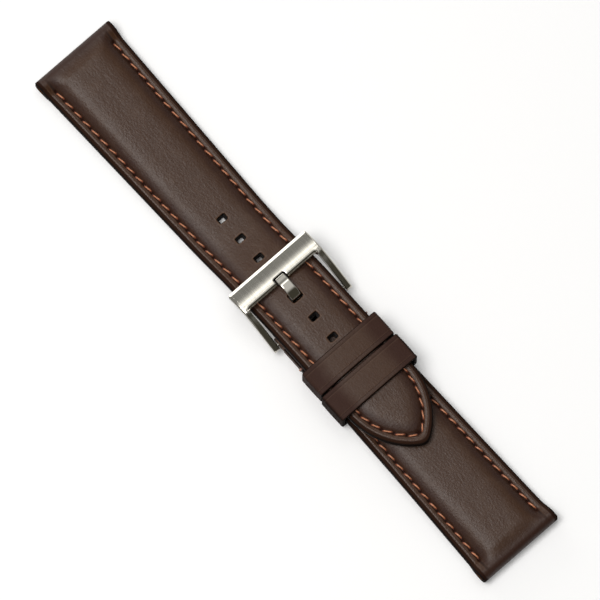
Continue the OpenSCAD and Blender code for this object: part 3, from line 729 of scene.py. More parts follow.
def stitch_skin(strap):
    """Stitches along both edges, on top and below: slanted arcs of two-ply thread between needle holes.

    An arc's height is a flat dome, 1 - |t|^2.6 with t from -1 to 1 along it, that dives at both ends. It
    leans about 11 degrees across the seam. The lean and the length vary a little from stitch to stitch.
    """
    s = strap.s
    number = np.arange(strap.stitches)[:, None]
    t = np.linspace(-1, 1, 13)[None, :]
    reach = (strap.pitch / 2 - 0.08) * (1 + 0.05 * np.sin(number * 1.7 + 1))
    place = (number + 0.5) * strap.pitch + reach * t
    lean = (0.27 + 0.05 * np.sin(number * 2.4)) * t
    dome = 1 - np.abs(t) ** 2.6
    if strap.long:
        side_x = strap.seam_start + place
        turned = np.maximum(side_x - strap.arch_x, 0) / strap.seam_r
        straight = side_x < strap.arch_x
        x = np.where(straight, side_x, strap.arch_x + strap.seam_r * np.sin(turned))
        arc_y = strap.seam_r * np.cos(turned) - strap.seam_side
        y = np.where(straight, strap.half(side_x) - s["seam_in"], arc_y)
    else:
        x = strap.seam_start - place
        y = strap.half(x) - s["seam_in"]
    floor = strap.edge(np.minimum(x, strap.arch_x) if strap.long else x) - s["groove"]
    ahead = unit(np.stack([np.gradient(x, axis=1), np.gradient(y, axis=1)], axis=-1))
    top_r, low_r = s["thread_width"] * 0.5, s["thread_width"] * 0.4
    skin = Skin()
    for side in (-1, 1):
        leant_x = x - ahead[..., 1] * lean * side
        leant_y = y + ahead[..., 0] * lean * side
        base = strap.base(leant_x)
        for radius, z in (
            (top_r, base + floor + top_r * 0.5 + 0.16 * dome - 0.62 * (1 - dome)),
            (low_r, base + low_r * 1.02 + 0.4 * (1 - dome)),
        ):
            path = np.stack([leant_x, side * leant_y, z], axis=-1)
            along = unit(np.gradient(path, axis=1))
            across = unit(np.cross((0.0, 0.0, 1.0), along))
            tube(skin, path, across, np.cross(along, across), radius, 1.3)
    return skin


def anchor_skin(strap, keeper_x):
    """Two turns of thread round each edge of the short strap: part of an ellipse in Y and Z."""
    skin = Skin()
    turns = np.radians(np.linspace(112, -112, 15))
    half_z = strap.short_thick / 2
    for side in (-1, 1):
        for start in (keeper_x - 0.4, keeper_x - 1.6):
            edge_y = strap.half(start) - 0.25
            x = start + 0.22 * np.sin(turns)
            y = edge_y + 0.42 * np.cos(turns)
            z = strap.strap_z + half_z + (half_z + 0.14) * np.sin(turns)
            path = np.stack([x, side * y, z], axis=-1)[None]
            along = unit(np.gradient(path, axis=1))
            across = unit(np.cross(along, (0.0, side, 0.0)))
            tube(skin, path, across, np.cross(along, across), 0.27, 3)
    return skin


def corner_path(points, radii, steps):
    """A closed outline through corner points with round corners: (points, outward normals)."""
    points = np.asarray(points, float)
    out, normals = [], []
    count = len(points)
    for i in range(count):
        before, here, after = points[i - 1], points[i], points[(i + 1) % count]
        a, b = unit(before - here), unit(after - here)
        half = math.acos(np.clip(a @ b, -1, 1)) / 2
        r = radii[i]
        centre = here + unit(a + b) * r / math.sin(half)
        first = here + a * r / math.tan(half) - centre
        last = here + b * r / math.tan(half) - centre
        start = math.atan2(first[1], first[0])
        sweep = (math.atan2(last[1], last[0]) - start + math.pi) % (2 * math.pi) - math.pi
        angle = start + sweep * np.linspace(0, 1, steps)
        normal = np.stack([np.cos(angle), np.sin(angle)], axis=-1)
        out.append(centre + r * normal)
        normals.append(normal)
    return np.concatenate(out), np.concatenate(normals)


def refine(points, normals, spacing):
    """Adds evenly spaced points on the long sides of a closed outline."""
    out, turned = [], []
    for i in range(len(points)):
        nxt = (i + 1) % len(points)
        n = max(1, int(np.linalg.norm(points[nxt] - points[i]) / spacing))
        t = np.arange(n)[:, None] / n
        out.append(mix(points[i], points[nxt], t))
        turned.append(unit(mix(normals[i], normals[nxt], t)))
    return np.concatenate(out), np.concatenate(turned)


def band_section(run, thick, crease_in):
    """Section of a leather band, along X and down from its outer face: (x, depth, distance from the edge).

    The outer face has round edges, a pressed line along both and a slight hollow between. The inner face
    has small round edges, and gives -1 as its distance.
    """
    half = np.unique(np.concatenate([
        np.linspace(0, 0.5, 9) ** 1.6, crease_in + np.linspace(-0.3, 0.3, 13), np.linspace(1.4, run / 2, 5)
    ]))
    half = half[half <= run / 2]
    outer = np.concatenate([half, (run - half)[::-1]])
    from_edge = np.minimum(outer, run - outer)
    depth = rounding(from_edge, 0.3) + 0.05 * hill(from_edge - crease_in, 0.14)
    depth = depth + 0.05 * (outer / run * 2 - 1) ** 2
    inner = np.array([run, run - 0.06, run - 0.3, run / 2, 0.3, 0.06, 0.0])
    inner_depth = thick - rounding(np.minimum(inner, run - inner), 0.15)
    return (
        np.concatenate([outer, inner]), np.concatenate([depth, inner_depth]),
        np.concatenate([from_edge, -1 + 0 * inner]),
    )


def keeper_skin(box, sizes):
    """A leather ring that fills a box: a band's section carried round an outline with round corners.

    Heights are scaled by 1 - crown |2y / width|^2.2 / height, so the top is crowned as the strap below it.
    """
    k = millimetres(sizes, KeeperSizes)
    run, width, tall = box[1] - box[0]
    low, high, side = box[0, 2], box[1, 2], width / 2
    corners = [(-side, low), (side, low), (side, high), (-side, high)]
    radii = [k["low_corner"]] * 2 + [k["top_corner"]] * 2
    points, normals = refine(*corner_path(corners, radii, 12), 0.45)
    x, depth, zone = band_section(run, k["thickness"], k["crease_in"])
    y = points[:, :1] - normals[:, :1] * depth
    z = points[:, 1:] - normals[:, 1:] * depth
    z = low + (z - low) * (1 - k["crown"] * np.abs(2 * y / width) ** 2.2 / tall)
    around = np.linspace(0, 1, len(points), endpoint=False)[:, None]
    skin = Skin()
    numbers = skin.grid(box[0, 0] + x, y, z, (around, zone, 0.0))
    skin.quads(np.concatenate([numbers, numbers[:1]], axis=0), around=True)
    return skin


def loop_skin(strap, slot):
    """Leather folded round the spring bar and glued to itself, in two cheeks with the tongue's slot between.

    The fold's middle line is a circle round the bar that runs on into two straight tabs. Its section is a
    rectangle with round edges, carried across the strap. Past the bar, the cheeks close up to each other.
    """
    turn = np.radians(np.linspace(24, 336, 40))
    fold_r, thick = 1.2, 0.78
    tab_x = np.array([LOOP_END, 6.0, 4.0, 2.6, 1.75])
    line_x = np.concatenate([tab_x, fold_r * np.cos(turn), tab_x[::-1]])
    line_z = np.concatenate([0 * tab_x + thick / 2, fold_r * np.sin(turn), 0 * tab_x - thick / 2])
    for line in (line_x, line_z):
        for _ in range(2):
            line[6:-6] = (line[5:-7] + 2 * line[6:-6] + line[7:-5]) / 4
    dx, dz = unit(np.stack([np.gradient(line_x), np.gradient(line_z)], axis=-1)).T
    edge = strap.s["short_width"] / 2
    skin = Skin()
    for side, low, high in ((-1, -edge, -slot / 2), (1, slot / 2, edge)):
        across, out = round_rectangle(low, high, thick / 2, 0.2)
        x = bar_x + line_x[:, None] - dz[:, None] * out[None, :]
        z = bar_z + line_z[:, None] + dx[:, None] * out[None, :]
        closed = ease((x - bar_x - 1.9) / 0.25)
        y = across - side * (slot / 2 - 0.01) * closed * (np.abs(across) < slot / 2 + 0.3)
        numbers = skin.grid(x, y, z, (0.0, 3.0, out))
        skin.quads(numbers, around=True)
        for end in (0, -1):
            skin.disc(numbers[end], (x[end].mean(), y[end].mean(), z[end].mean()), (0.0, 0.0, 0.0))
    return skin


def smooth_line(points, steps):
    """Catmull-Rom curve through points: on each span a cubic whose slopes follow the neighbouring points."""
    p = np.asarray(points, float)
    a = np.concatenate([p[:1], p[:-2]])
    b, c = p[:-1], p[1:]
    d = np.concatenate([p[2:], p[-1:]])
    t = (np.arange(steps) / steps)[None, :, None]
    a, b, c, d = (q[:, None, :] for q in (a, b, c, d))
    curve = 2 * b + (c - a) * t + (2 * a - 5 * b + 4 * c - d) * t**2 + (3 * b - a - 3 * c + d) * t**3
    return np.concatenate([0.5 * curve.reshape(-1, p.shape[1]), p[-1:]])


class BuckleShape:
    """Heights of the buckle frame, from the long strap below it and the spring bar behind it."""

    def __init__(self, sizes, strap):
        b = millimetres(sizes, BuckleSizes)
        self.b = b
        self.front_x = bar_x - b["reach"]
        self.inner_x = bar_x - b["window_length"]
        self.strap = strap
        f, i, e = self.front_x, self.inner_x, b["eye_radius"]
        knee_x = bar_x - 4.7
        peak = self.rest(i) + b["front_thickness"]
        knee_z = mix(bar_z, peak, 0.66)
        end_z = bar_z + 0.7 * e
        top = [(x, self.bar_top(x)) for x in (f, f + 1.6, f + 3.2, f + 4.6)]
        top += [(i, peak - 0.06), (i + 1.6, mix(peak, knee_z, 0.34)), (i + 3.3, mix(peak, knee_z, 0.67))]
        top += [(knee_x, knee_z), (knee_x + 2.6, mix(knee_z, end_z, 0.48)), (bar_x + 0.7 * e, end_z)]
        low = [(x, self.rest(x)) for x in (f, f + 1.6, f + 3.2, f + 4.4)]
        low += [(i - 0.4, self.rest(i) - 0.3), (i + 2.0, 5.36), (knee_x - 0.6, knee_z - 2)]
        low += [(knee_x + 2, knee_z - 3.35), (bar_x - 0.75 * e, bar_z - 0.66 * e)]
        self.top_line = smooth_line(top, 12)
        self.low_line = smooth_line(low, 12)

    def rest(self, x):
        """Underside of the front bar: a little over the long strap."""
        return self.strap.base(x) + self.strap.s["thin_thickness"] + 0.25

    def bar_top(self, x):
        """Top of the front bar: a straight line, thickness above both edges of its underside."""
        share = (x - self.front_x) / (self.inner_x - self.front_x)
        return mix(self.rest(self.front_x), self.rest(self.inner_x), share) + self.b["front_thickness"]

    def notch_floor(self, x):
        """Bottom of the notch that the tongue's tip lies in."""
        return self.bar_top(x) - self.b["notch_depth"] + 0.06

    def ended(self, x, end, way, z):
        """A height along the arm that turns into the circle round the spring bar from an end onwards."""
        circle = bar_z + way * half_circle(x - bar_x, self.b["eye_radius"])
        return np.where(x > bar_x + end * self.b["eye_radius"], circle, z)

    def top(self, x):
        """Top before the bevels: the smoothed line, with a crown 0.3 sin(pi share^1.2) on the front bar."""
        share = np.clip((x - self.front_x) / (self.inner_x - self.front_x), 0, 1)
        z = np.interp(x, self.top_line[:, 0], self.top_line[:, 1])
        z = z + 0.3 * np.sin(share**1.2 * math.pi) - 0.12 * (share < 1)
        return self.ended(x, 0.7, 1, z)

    def low(self, x, y):
        """Underside at any place: over the strap in the front bar, the arm's own line beside it."""
        arm = np.interp(x, self.low_line[:, 0], self.low_line[:, 1])
        bar = self.rest(np.minimum(x, self.inner_x + 0.2))
        z = mix(bar, arm, ease((np.abs(y) - 9.3) / 0.7))
        return self.ended(x, -0.75, -1, z)


def frame_outlines(shape):
    """Stations along the U of the arms and the front bar: points of the outer outline and of the window's."""
    b = shape.b
    f, i = shape.front_x, shape.inner_x
    half_in, half_out = b["window_width"] / 2, b["window_width"] / 2 + b["arm_width"]
    corner = 0.7
    middle_in, middle_out = corner - half_in, corner - half_out
    arm_x = np.concatenate([
        bar_x + b["eye_radius"] * np.cos(np.linspace(0.06, 0.8, 8))[:-1],
        np.linspace(bar_x + 0.72, i + corner, 60),
    ])
    side = np.linspace(i + corner, f + corner, 22)[1:]
    angle = np.linspace(0, math.pi / 2, 10)[1:]
    out_corner = np.concatenate([
        np.stack([side, 0 * side - half_out], -1),
        np.stack([f + corner - corner * np.sin(angle), middle_out - corner * np.cos(angle)], -1),
        np.stack([np.full(6, f), np.linspace(middle_out, middle_in, 7)[1:]], -1),
    ])
    sweep = np.linspace(0, math.pi / 2, len(out_corner) + 1)[1:]
    in_corner = np.stack([i + corner - corner * np.sin(sweep), middle_in - corner * np.cos(sweep)], -1)
    near = np.concatenate([
        np.linspace(first, last, count)[1:]
        for first, last, count in ((middle_in, -1.95, 60), (-1.95, -1.35, 17), (-1.35, 0, 10))
    ])
    outlines = []
    for half, turn, bar in ((half_out, out_corner, f), (half_in, in_corner, i)):
        line = np.concatenate([
            np.stack([arm_x, 0 * arm_x - half], -1), turn, np.stack([0 * near + bar, near], -1)
        ])
        outlines.append(np.concatenate([line, line[-2::-1] * [1, -1]]))
    return outlines


def frame_skin(shape):
    """The buckle frame: a section carried along the U of its arms and front bar.

    Each station joins a point of the outer outline to one of the window's outline. Heights are functions of
    the place, less a bevel by distance from the outer edge, a roll by distance from the window, and a notch.
    """
    b = shape.b
    f, i = shape.front_x, shape.inner_x
    half_in, half_out = b["window_width"] / 2, b["window_width"] / 2 + b["arm_width"]
    outer, inner = frame_outlines(shape)
    width = np.linalg.norm(inner - outer, axis=1)[:, None]
    k = np.minimum(1, width / 2.4)
    out_lines = np.array([0, 0.02, 0.06, 0.12, 0.25, 0.4, 0.54, 0.6, 0.64, 0.7, 0.8, 1.0, 1.25])
    in_lines = np.array([1.0, 0.9, 0.75, 0.6, 0.45, 0.3, 0.2, 0.12, 0.06, 0.02, 0])
    shares = np.concatenate([np.linspace(0, 0.62, 9)[1:], np.linspace(0.62, 0.86, 16)[1:], [0.93]])
    middle = out_lines[-1] * k + shares * (width - (out_lines[-1] + in_lines[0]) * k)
    across = np.concatenate([out_lines * k, middle, width - in_lines * k], axis=1)

    def plan(part):
        return np.moveaxis(outer[:, None, :] + (inner - outer)[:, None, :] * part[..., None], -1, 0)

    x, y = plan(across / width)
    from_side = half_out - np.abs(y)
    from_out = np.minimum(np.minimum(x - f, from_side), across / k)
    from_in = (width - across) / k
    front = ease((half_in + 0.5 - np.abs(y)) / 0.5) * (x < i + 0.5)
    side_drop = np.interp(from_side, [0, 0.28, 0.7], [0.3, 0.05, 0])
    front_drop = np.interp(x - f, [0, b["bevel"], 2.2], [0.21, 0.02, 0])
    arm_roll = 0.1 * np.clip(1 - from_in / 0.35, 0, 1) ** 2
    bar_roll = 0.5 * np.clip(1 - from_in / 0.85, 0, 1) ** 2
    z = shape.top(x) - np.maximum(side_drop, front_drop) - mix(arm_roll, bar_roll, front)

    # The notch: away is the distance outside a rectangle with round corners, and negative in it
    notch_r = 0.45
    beyond_x = bar_x - b["tongue_reach"] - 0.25 + notch_r - x
    beyond_y = np.abs(y) - b["tongue_width"] / 2 - 0.4 + notch_r
    away = np.hypot(np.maximum(beyond_x, 0), np.maximum(beyond_y, 0)) - notch_r
    away = away + np.minimum(np.maximum(beyond_x, beyond_y), 0)
    on_bar = x < i + 0.4
    cut = ease(-away / 0.16) * on_bar
    z = mix(z, np.minimum(z, shape.notch_floor(x)), cut)
    z = z - 0.05 * hill(away - 0.02, 0.1) * on_bar * (1 - cut)

    skin = Skin()
    polish = np.maximum(from_out < b["bevel"], ease(-away / 0.1))
    # The third value is -1 in the notch, where the steel finish paints shade.
    over = skin.grid(x, y, z, (polish, from_in, np.where(cut > 0.3, -1.0, x > i + 0.4)))
    low_x, low_y = plan(np.concatenate([1 + 0 * width, 1 - 0.16 / width, 0.16 / width, 0 * width], axis=1))
    low_z = shape.low(low_x, low_y) + np.array([0.14, 0, 0, 0.14])
    low_z = np.minimum(low_z, z[:, [-1, -1, 0, 0]] - 0.02)
    below = skin.grid(low_x, low_y, low_z, (0.6, 9.0, 1.0))
    ring = np.concatenate([over, below], axis=1)
    skin.quads(ring, around=True)
    for last in (0, -1):
        skin.disc(ring[last], skin.at(ring[last]).mean(axis=0), (1.0, 9.0, 1.0))
    return skin


def tongue_skin(shape):
    """The tongue: a strip with round edges carried along a curve, and a ring round the spring bar.

    The strip's section is a superellipse: (|cos a|^0.28 width / 2, |sin a|^0.28 thickness / 2) at angle a.
    """
    b = shape.b
    strap = shape.strap
    thick = b["tongue_thickness"]
    shank = bar_x - strap.s["used_to_bar"]
    low = strap.lay_z - 0.3
    high = low + strap.s["thin_thickness"]
    tip_x, back_x = bar_x - b["tongue_reach"], shape.inner_x
    tip_z, back_z = (shape.notch_floor(x) + thick / 2 for x in (tip_x, back_x))
    path = smooth_line([
        (bar_x - 1.0, bar_z + 0.15), (bar_x - 2.3, bar_z + 0.2), (shank + 1.75, bar_z + 0.24),
        (shank + 0.95, bar_z + 0.5), (shank + 0.45, low), (shank + 0.25, mix(low, high, 0.5)),
        (shank - 0.05, high - 0.1), (shank - 1.15, high + 0.72), (shank - 2.45, back_z + 0.1),
        (back_x + 0.9, back_z + 0.2), (back_x, back_z), (tip_x, tip_z),
    ], 8)
    run = np.concatenate([[0], np.cumsum(np.linalg.norm(np.diff(path, axis=0), axis=1))])
    tip_length = 0.5
    rounded = run[-1] - tip_length * (1 - np.sin(np.linspace(0, 1.5, 9)))
    stations = np.concatenate([np.linspace(0, run[-1] - tip_length, 70), rounded[1:]])
    px, pz = (np.interp(stations, run, path[:, k]) for k in (0, 1))
    ahead_x, ahead_z = unit(np.stack([np.gradient(px, stations), np.gradient(pz, stations)], axis=-1)).T
    left = np.clip((run[-1] - stations) / tip_length, 0, 1)
    tip = half_circle(1 - left, 1)[:, None]
    angle = np.linspace(0, 2 * math.pi, 33)[:-1]
    wide, tall = (
        np.sign(part) * np.abs(part) ** 0.28 * size / 2
        for part, size in ((np.cos(angle), b["tongue_width"]), (np.sin(angle), thick))
    )
    depth = np.maximum(tip, 0.12)
    x = px[:, None] - ahead_z[:, None] * tall * depth
    z = pz[:, None] + ahead_x[:, None] * tall * depth
    polished = (1.0, 9.0, 2.0)
    skin = Skin()
    body = skin.grid(x, wide * (0.7 + 0.3 * tip), z, polished)
    skin.quads(body, around=True)
    for end in (0, -1):
        skin.disc(body[end], (px[end], 0.0, pz[end]), polished)

    turn = np.linspace(0, 2 * math.pi, 49)[:-1, None]
    eye_r, eye_y = round_rectangle(0.8, 1.4, b["tongue_width"] / 2 - 0.03, 0.15)
    eye = skin.grid(bar_x + eye_r * np.cos(turn), eye_y, bar_z + eye_r * np.sin(turn), polished)
    skin.quads(np.concatenate([eye, eye[:1]]), around=True)
    return skin


class Wire:
    """A value in a finish's nodes. Arithmetic on it adds Math nodes."""

    def __init__(self, finish, socket):
        self.finish = finish
        self.socket = socket

    def math(self, operation, *others):
        """One Math node with this value first."""
        inputs = {k + 1: other for k, other in enumerate(others)}
        node = self.finish.node("ShaderNodeMath", {"operation": operation}, {0: self, **inputs})
        return Wire(self.finish, node.outputs[0])

    def __add__(self, other):
        return self.math("ADD", other)

    __radd__ = __add__

    def __sub__(self, other):
        return self.math("SUBTRACT", other)

    def __rsub__(self, other):
        node = self.finish.node("ShaderNodeMath", {"operation": "SUBTRACT"}, {0: other, 1: self})
        return Wire(self.finish, node.outputs[0])

    def __mul__(self, other):
        return self.math("MULTIPLY", other)

    def __truediv__(self, other):
        return self.math("DIVIDE", other)

    def __abs__(self):
        return self.math("ABSOLUTE")

    def most(self, other):
        """The larger value."""
        return self.math("MAXIMUM", other)

    def sine(self):
        """Sine of the value."""
        return self.math("SINE")

    def cosine(self):
        """Cosine of the value."""
        return self.math("COSINE")

    def fraction(self):
        """Part after the point."""
        return self.math("FRACT")

    def smooth(self, low, high):
        """Smooth step from 0 at low to 1 at high."""
        ends = {0: self, 1: low, 2: high, 3: 0.0, 4: 1.0}
        node = self.finish.node("ShaderNodeMapRange", {"interpolation_type": "SMOOTHSTEP"}, ends)
        return Wire(self.finish, node.outputs[0])

    def beyond(self, low, high):
        """The smooth step the other way: 1 at low and 0 at high."""
        return 1 - self.smooth(low, high)

    def band(self, centre, width):
        """1 at the centre, falling smoothly to 0 at a width on both sides."""
        return 1 - abs(self - centre).smooth(0.0, width)


class Nodes:
    """A node tree that expressions add to."""

    def __init__(self, owner):
        owner.use_nodes = True
        self.tree = owner.node_tree
        self.tree.nodes.clear()

    def node(self, kind, settings=None, inputs=None):
        """One node: its settings first, then the values or links of its sockets."""
        node = self.tree.nodes.new(kind)
        for key, value in (settings or {}).items():
            setattr(node, key, value)
        for key, value in (inputs or {}).items():
            self.join(value, node.inputs[key])
        return node

    def join(self, value, socket):
        """Links a value to a socket or sets the socket to it. None leaves it as it is."""
        if isinstance(value, Wire):
            value = value.socket
        if isinstance(value, bpy.types.NodeSocket):
            self.tree.links.new(value, socket)
        elif value is not None:
            socket.default_value = value

    def split(self, vector):
        """The three values of a vector."""
        node = self.node("ShaderNodeSeparateXYZ", None, {0: vector})
        return [Wire(self, socket) for socket in node.outputs]

    def blend(self, first, second, factor):
        """Mix of two colours."""
        def rgba(value):
            return (*value, 1.0) if isinstance(value, tuple) else value

        settings = {"data_type": "RGBA", "clamp_factor": True}
        node = self.node("ShaderNodeMix", settings, {0: factor, 6: rgba(first), 7: rgba(second)})
        return node.outputs[2]


class Finish(Nodes):
    """A procedural material: one Principled shader and the nodes that feed it.

    Tone is the colour so far. A finish starts it and lays one coat after another over it.
    """

    def __init__(self, name, tone_now, **uniform):
        self.material = bpy.data.materials.new(name)
        super().__init__(self.material)
        self.output = self.tree.nodes.new("ShaderNodeOutputMaterial")
        self.shader = self.tree.nodes.new("ShaderNodeBsdfPrincipled")
        self.tree.links.new(self.shader.outputs[0], self.output.inputs[0])
        for key, value in uniform.items():
            self.shader.inputs[key.replace("_", " ")].default_value = value
        self.here = self.node("ShaderNodeTexCoord").outputs["Object"]
        self.tone = tone_now

    def coat(self, colour_now, factor):
        """Lays a colour over the tone so far, by a factor from 0 to 1."""
        self.tone = self.blend(self.tone, colour_now, factor)

    def place(self):
        """The piece's own place attribute, as three values."""
        return self.split(self.node("ShaderNodeAttribute", {"attribute_name": "place"}).outputs["Vector"])

    def axes(self):
        """X, Y and Z in metres."""
        return self.split(self.here)

    def stretched(self, scale):
        """Coordinates multiplied axis by axis."""
        inputs = {"Vector": self.here, "Scale": scale}
        return self.node("ShaderNodeMapping", {"vector_type": "POINT"}, inputs).outputs[0]

    def noise(self, scale, detail=3.0, roughness=0.55, where=None, distortion=0.0):
        """Fractal noise from 0 to 1."""
        node = self.node("ShaderNodeTexNoise", None, {
            "Vector": where or self.here, "Scale": scale, "Detail": detail, "Roughness": roughness,
            "Distortion": distortion})
        return Wire(self, node.outputs[0])

    def pebbles(self, scale):
        """Smooth cells from 0 in their middles, as the pebbles of leather."""
        inputs = {"Vector": self.here, "Scale": scale}
        node = self.node("ShaderNodeTexVoronoi", {"feature": "SMOOTH_F1"}, inputs)
        return Wire(self, node.outputs["Distance"])

    def bump(self, height, strength, distance):
        """Normal from a height, in metres at full strength."""
        inputs = {"Strength": strength, "Distance": distance, "Height": height}
        return self.node("ShaderNodeBump", None, inputs).outputs[0]

    def feed(self, **inputs):
        """Gives the shader its tone and links or sets its other sockets, and gives the material."""
        for key, value in {"Base_Color": self.tone, **inputs}.items():
            self.join(value, self.shader.inputs[key.replace("_", " ")])
        return self.material

    def mixed(self, factor, other):
        """The material with another shader mixed in by a factor from 0 to 1."""
        inputs = {0: factor, 1: self.shader.outputs[0], 2: other.outputs[0]}
        mixed = self.node("ShaderNodeMixShader", None, inputs)
        self.tree.links.new(mixed.outputs[0], self.output.inputs[0])
        return self.material

    def dulled(self, factor):
        """The material with a matte layer of its tone mixed in, for raw edges that hardly shine."""
        matte = self.node("ShaderNodeBsdfPrincipled", None, {
            "Base Color": self.tone, "Roughness": 0.9, "Specular IOR Level": 0.06})
        return self.mixed(factor, matte)


def shade(colour_value, share):
    """A colour scaled in brightness."""
    return tuple(float(c) * share for c in colour_value)


def grain(f, fine=1.0):
    """Leather grain: shallow pebbles of 0.4 mm with pores and soft long wrinkles."""
    pebbles = f.pebbles(2400 * fine)
    pores = f.noise(6500 * fine, 4, 0.6)
    folds = f.noise(700, 4, 0.6, f.stretched((0.5, 1.4, 1.0)), 0.6)
    return pebbles * 0.5 + pores * 0.35 + folds * 0.8


def leather_tones(colours):
    """The top leather's three tones: light, middle and dark."""
    return (tuple(getattr(colours, name)) for name in ("leather_light", "leather", "leather_dark"))


def upper_leather(name, colours, pitch, seam_in):
    """Smooth dark calf: burnished along the seam and at the nose, partly painted shade beside the seam, painted
    edges, painted highlights on the crease lines and the holes' lips, and painted shade in the creases, the
    seam groove, the needle holes and the punched holes.

    Place is the distance along the seam, the distance in from the edge, and a zone: 0 on top, 1 on the side
    walls, 2 on the flesh side, 4 in the tunnel, down to -1 towards a hole's rim and -3 at its bottom.
    """
    light, base, dark = leather_tones(colours)
    f = Finish(name, base, Specular_IOR_Level=0.3)
    seam, deep, zone = f.place()
    clouds = f.noise(260, 5, 0.6)
    flecks = f.noise(1900, 5, 0.65)
    f.coat(light, clouds.smooth(0.45, 0.75) * 0.35)
    f.coat(shade(base, 0.72), flecks.smooth(0.52, 0.72) * 0.4)
    body = (seam + clouds * 1.2).smooth(-3.6, 0.2)
    nose = 1 - body
    uneven = f.noise(500, 4, 0.6).smooth(0.2, 0.8) * 0.5 + 0.5
    # Reddish burnished band along the seam and at the nose, partly painted shade on the steep shoulder beside
    # the seam.
    burnish_and_shade = (deep.band(3.3, 1.9) * uneven).most(nose * 0.9)
    f.coat(dark, burnish_and_shade * 0.95)
    f.coat(base, deep.beyond(1.9, 2.4) * body * 0.5)
    # Painted shade on the rounded outer strip outside the crease.
    f.coat(shade(dark, 0.5), deep.beyond(0.75, 0.95) * 0.75)
    # The rubbed mask is a painted highlight along the rims of the two crease lines, uneven along the strap.
    highlight_patches = f.noise(900, 3).smooth(0.3, 0.6) * 0.6 + 0.4
    rubbed = (deep.band(1.08, 0.15) * 0.36).most(deep.band(1.78, 0.14) * 0.26) * body
    f.coat((light[0] * 1.5, light[1] * 1.3, light[2] * 1.1), rubbed * highlight_patches)
    # Painted shade in the crease line.
    f.coat(shade(dark, 0.35), deep.band(0.92, 0.1) * 0.6)
    # Painted shade in the seam groove.
    f.coat(shade(dark, 0.4), deep.band(seam_in, 0.45) * 0.85 * body)
    # Needle holes between the stitches painted near black: painted shade in the holes.
    phase = abs((seam / pitch + 0.5).fraction() - 0.5) * pitch
    needle = phase.beyond(0.28, 0.7) * deep.band(seam_in, 0.62) * body
    f.coat((0.02, 0.005, 0.002), needle * 0.97)
    sunk = 0 - zone
    # Painted highlight on each punched hole's round lip.
    f.coat(shade(light, 1.3), sunk.smooth(0.55, 0.9) * sunk.beyond(1.05, 1.4) * 0.5)
    # Painted shade, near black, down each punched hole's walls.
    f.coat(shade(dark, 0.06), sunk.smooth(1.0, 1.6))
    f.coat(tuple(colours.edge), deep.beyond(0.12, 0.4).most(zone.smooth(0.3, 0.9)) * 0.92)
    f.coat(shade(base, 1.5), zone.band(4.0, 1.2) * 0.9)
    groove = deep.band(seam_in, 0.7) * body
    dull = (burnish_and_shade * 0.15).most(groove * 0.5).most(deep.beyond(0.7, 1.0) * 0.4)
    rough = 0.2 + clouds * 0.14 + flecks * 0.2 + dull
    f.feed(Roughness=rough, Normal=f.bump(grain(f) + clouds * 0.8, 0.9, 0.0001))
    raw = deep.beyond(0.75, 1.0).most(needle).most(sunk.smooth(0.8, 1.4))
    return f.dulled(raw * 0.85)


def lining_leather(name, colours):
    """Matte brown lining with fine grain, darker along its painted edge, with painted shade along its stitch
    groove and in its holes.
    """
    lining = tuple(colours.lining)
    f = Finish(name, lining, Specular_IOR_Level=0.35)
    _, deep, zone = f.place()
    clouds = f.noise(220, 5, 0.6)
    f.coat(shade(lining, 0.72), clouds.smooth(0.35, 0.7))
    # Painted shade along the lower stitch groove.
    f.coat(shade(lining, 0.5), deep.band(2.25, 0.5) * 0.8)
    # Edge paint on the cut edges, and painted shade in the holes.
    f.coat(tuple(colours.edge), deep.beyond(0.15, 0.4).most((0 - zone).smooth(0.9, 1.3)) * 0.95)
    return f.feed(Roughness=0.62 + clouds * 0.12, Normal=f.bump(grain(f, 1.2), 0.5, 0.00007))


def keeper_leather(name, colours, crease_in):
    """The keepers' leather: as the straps' top, with a pressed line along both edges, a painted highlight
    beside it and painted shade in it, and painted shade towards the ends of the top and on the side faces.
    """
    light, base, dark = leather_tones(colours)
    f = Finish(name, shade(base, 1.04), Specular_IOR_Level=0.24)
    _, inward, _ = f.place()
    clouds = f.noise(300, 5, 0.6)
    flecks = f.noise(2000, 5, 0.65)
    f.coat(light, clouds.smooth(0.5, 0.8) * 0.4)
    f.coat(shade(base, 0.72), flecks.smooth(0.52, 0.72) * 0.4)
    from_middle = abs(f.axes()[1] / MM)
    # Painted shade: the top darkens towards both ends, where its crown turns away from the light.
    ends = (from_middle + clouds * 2).smooth(5.0, 9.5)
    f.coat(shade(dark, 1.15), ends * 0.9)
    f.coat(dark, inward.beyond(0.5, 1.3) * 0.35)
    # Painted highlight beside each pressed line, and painted shade in it.
    f.coat(shade(light, 1.1), inward.band(crease_in + 0.2, 0.16) * 0.35)
    f.coat(shade(dark, 0.6), inward.band(crease_in, 0.14) * 0.5)
    # Painted shade on the side faces, where the band turns down round the strap; the cut edges take edge paint.
    side = from_middle.smooth(10.5, 11.1)
    edge = inward.beyond(0.02, 0.3)
    f.coat(tuple(colours.edge), (side * 0.75).most(edge * 0.9))
    rough = 0.34 + clouds * 0.12 + flecks * 0.12 + ends * 0.25
    f.feed(Roughness=rough, Normal=f.bump(grain(f) + clouds * 0.8, 0.6, 0.0001))
    return f.dulled(side.most(edge) * 0.9)


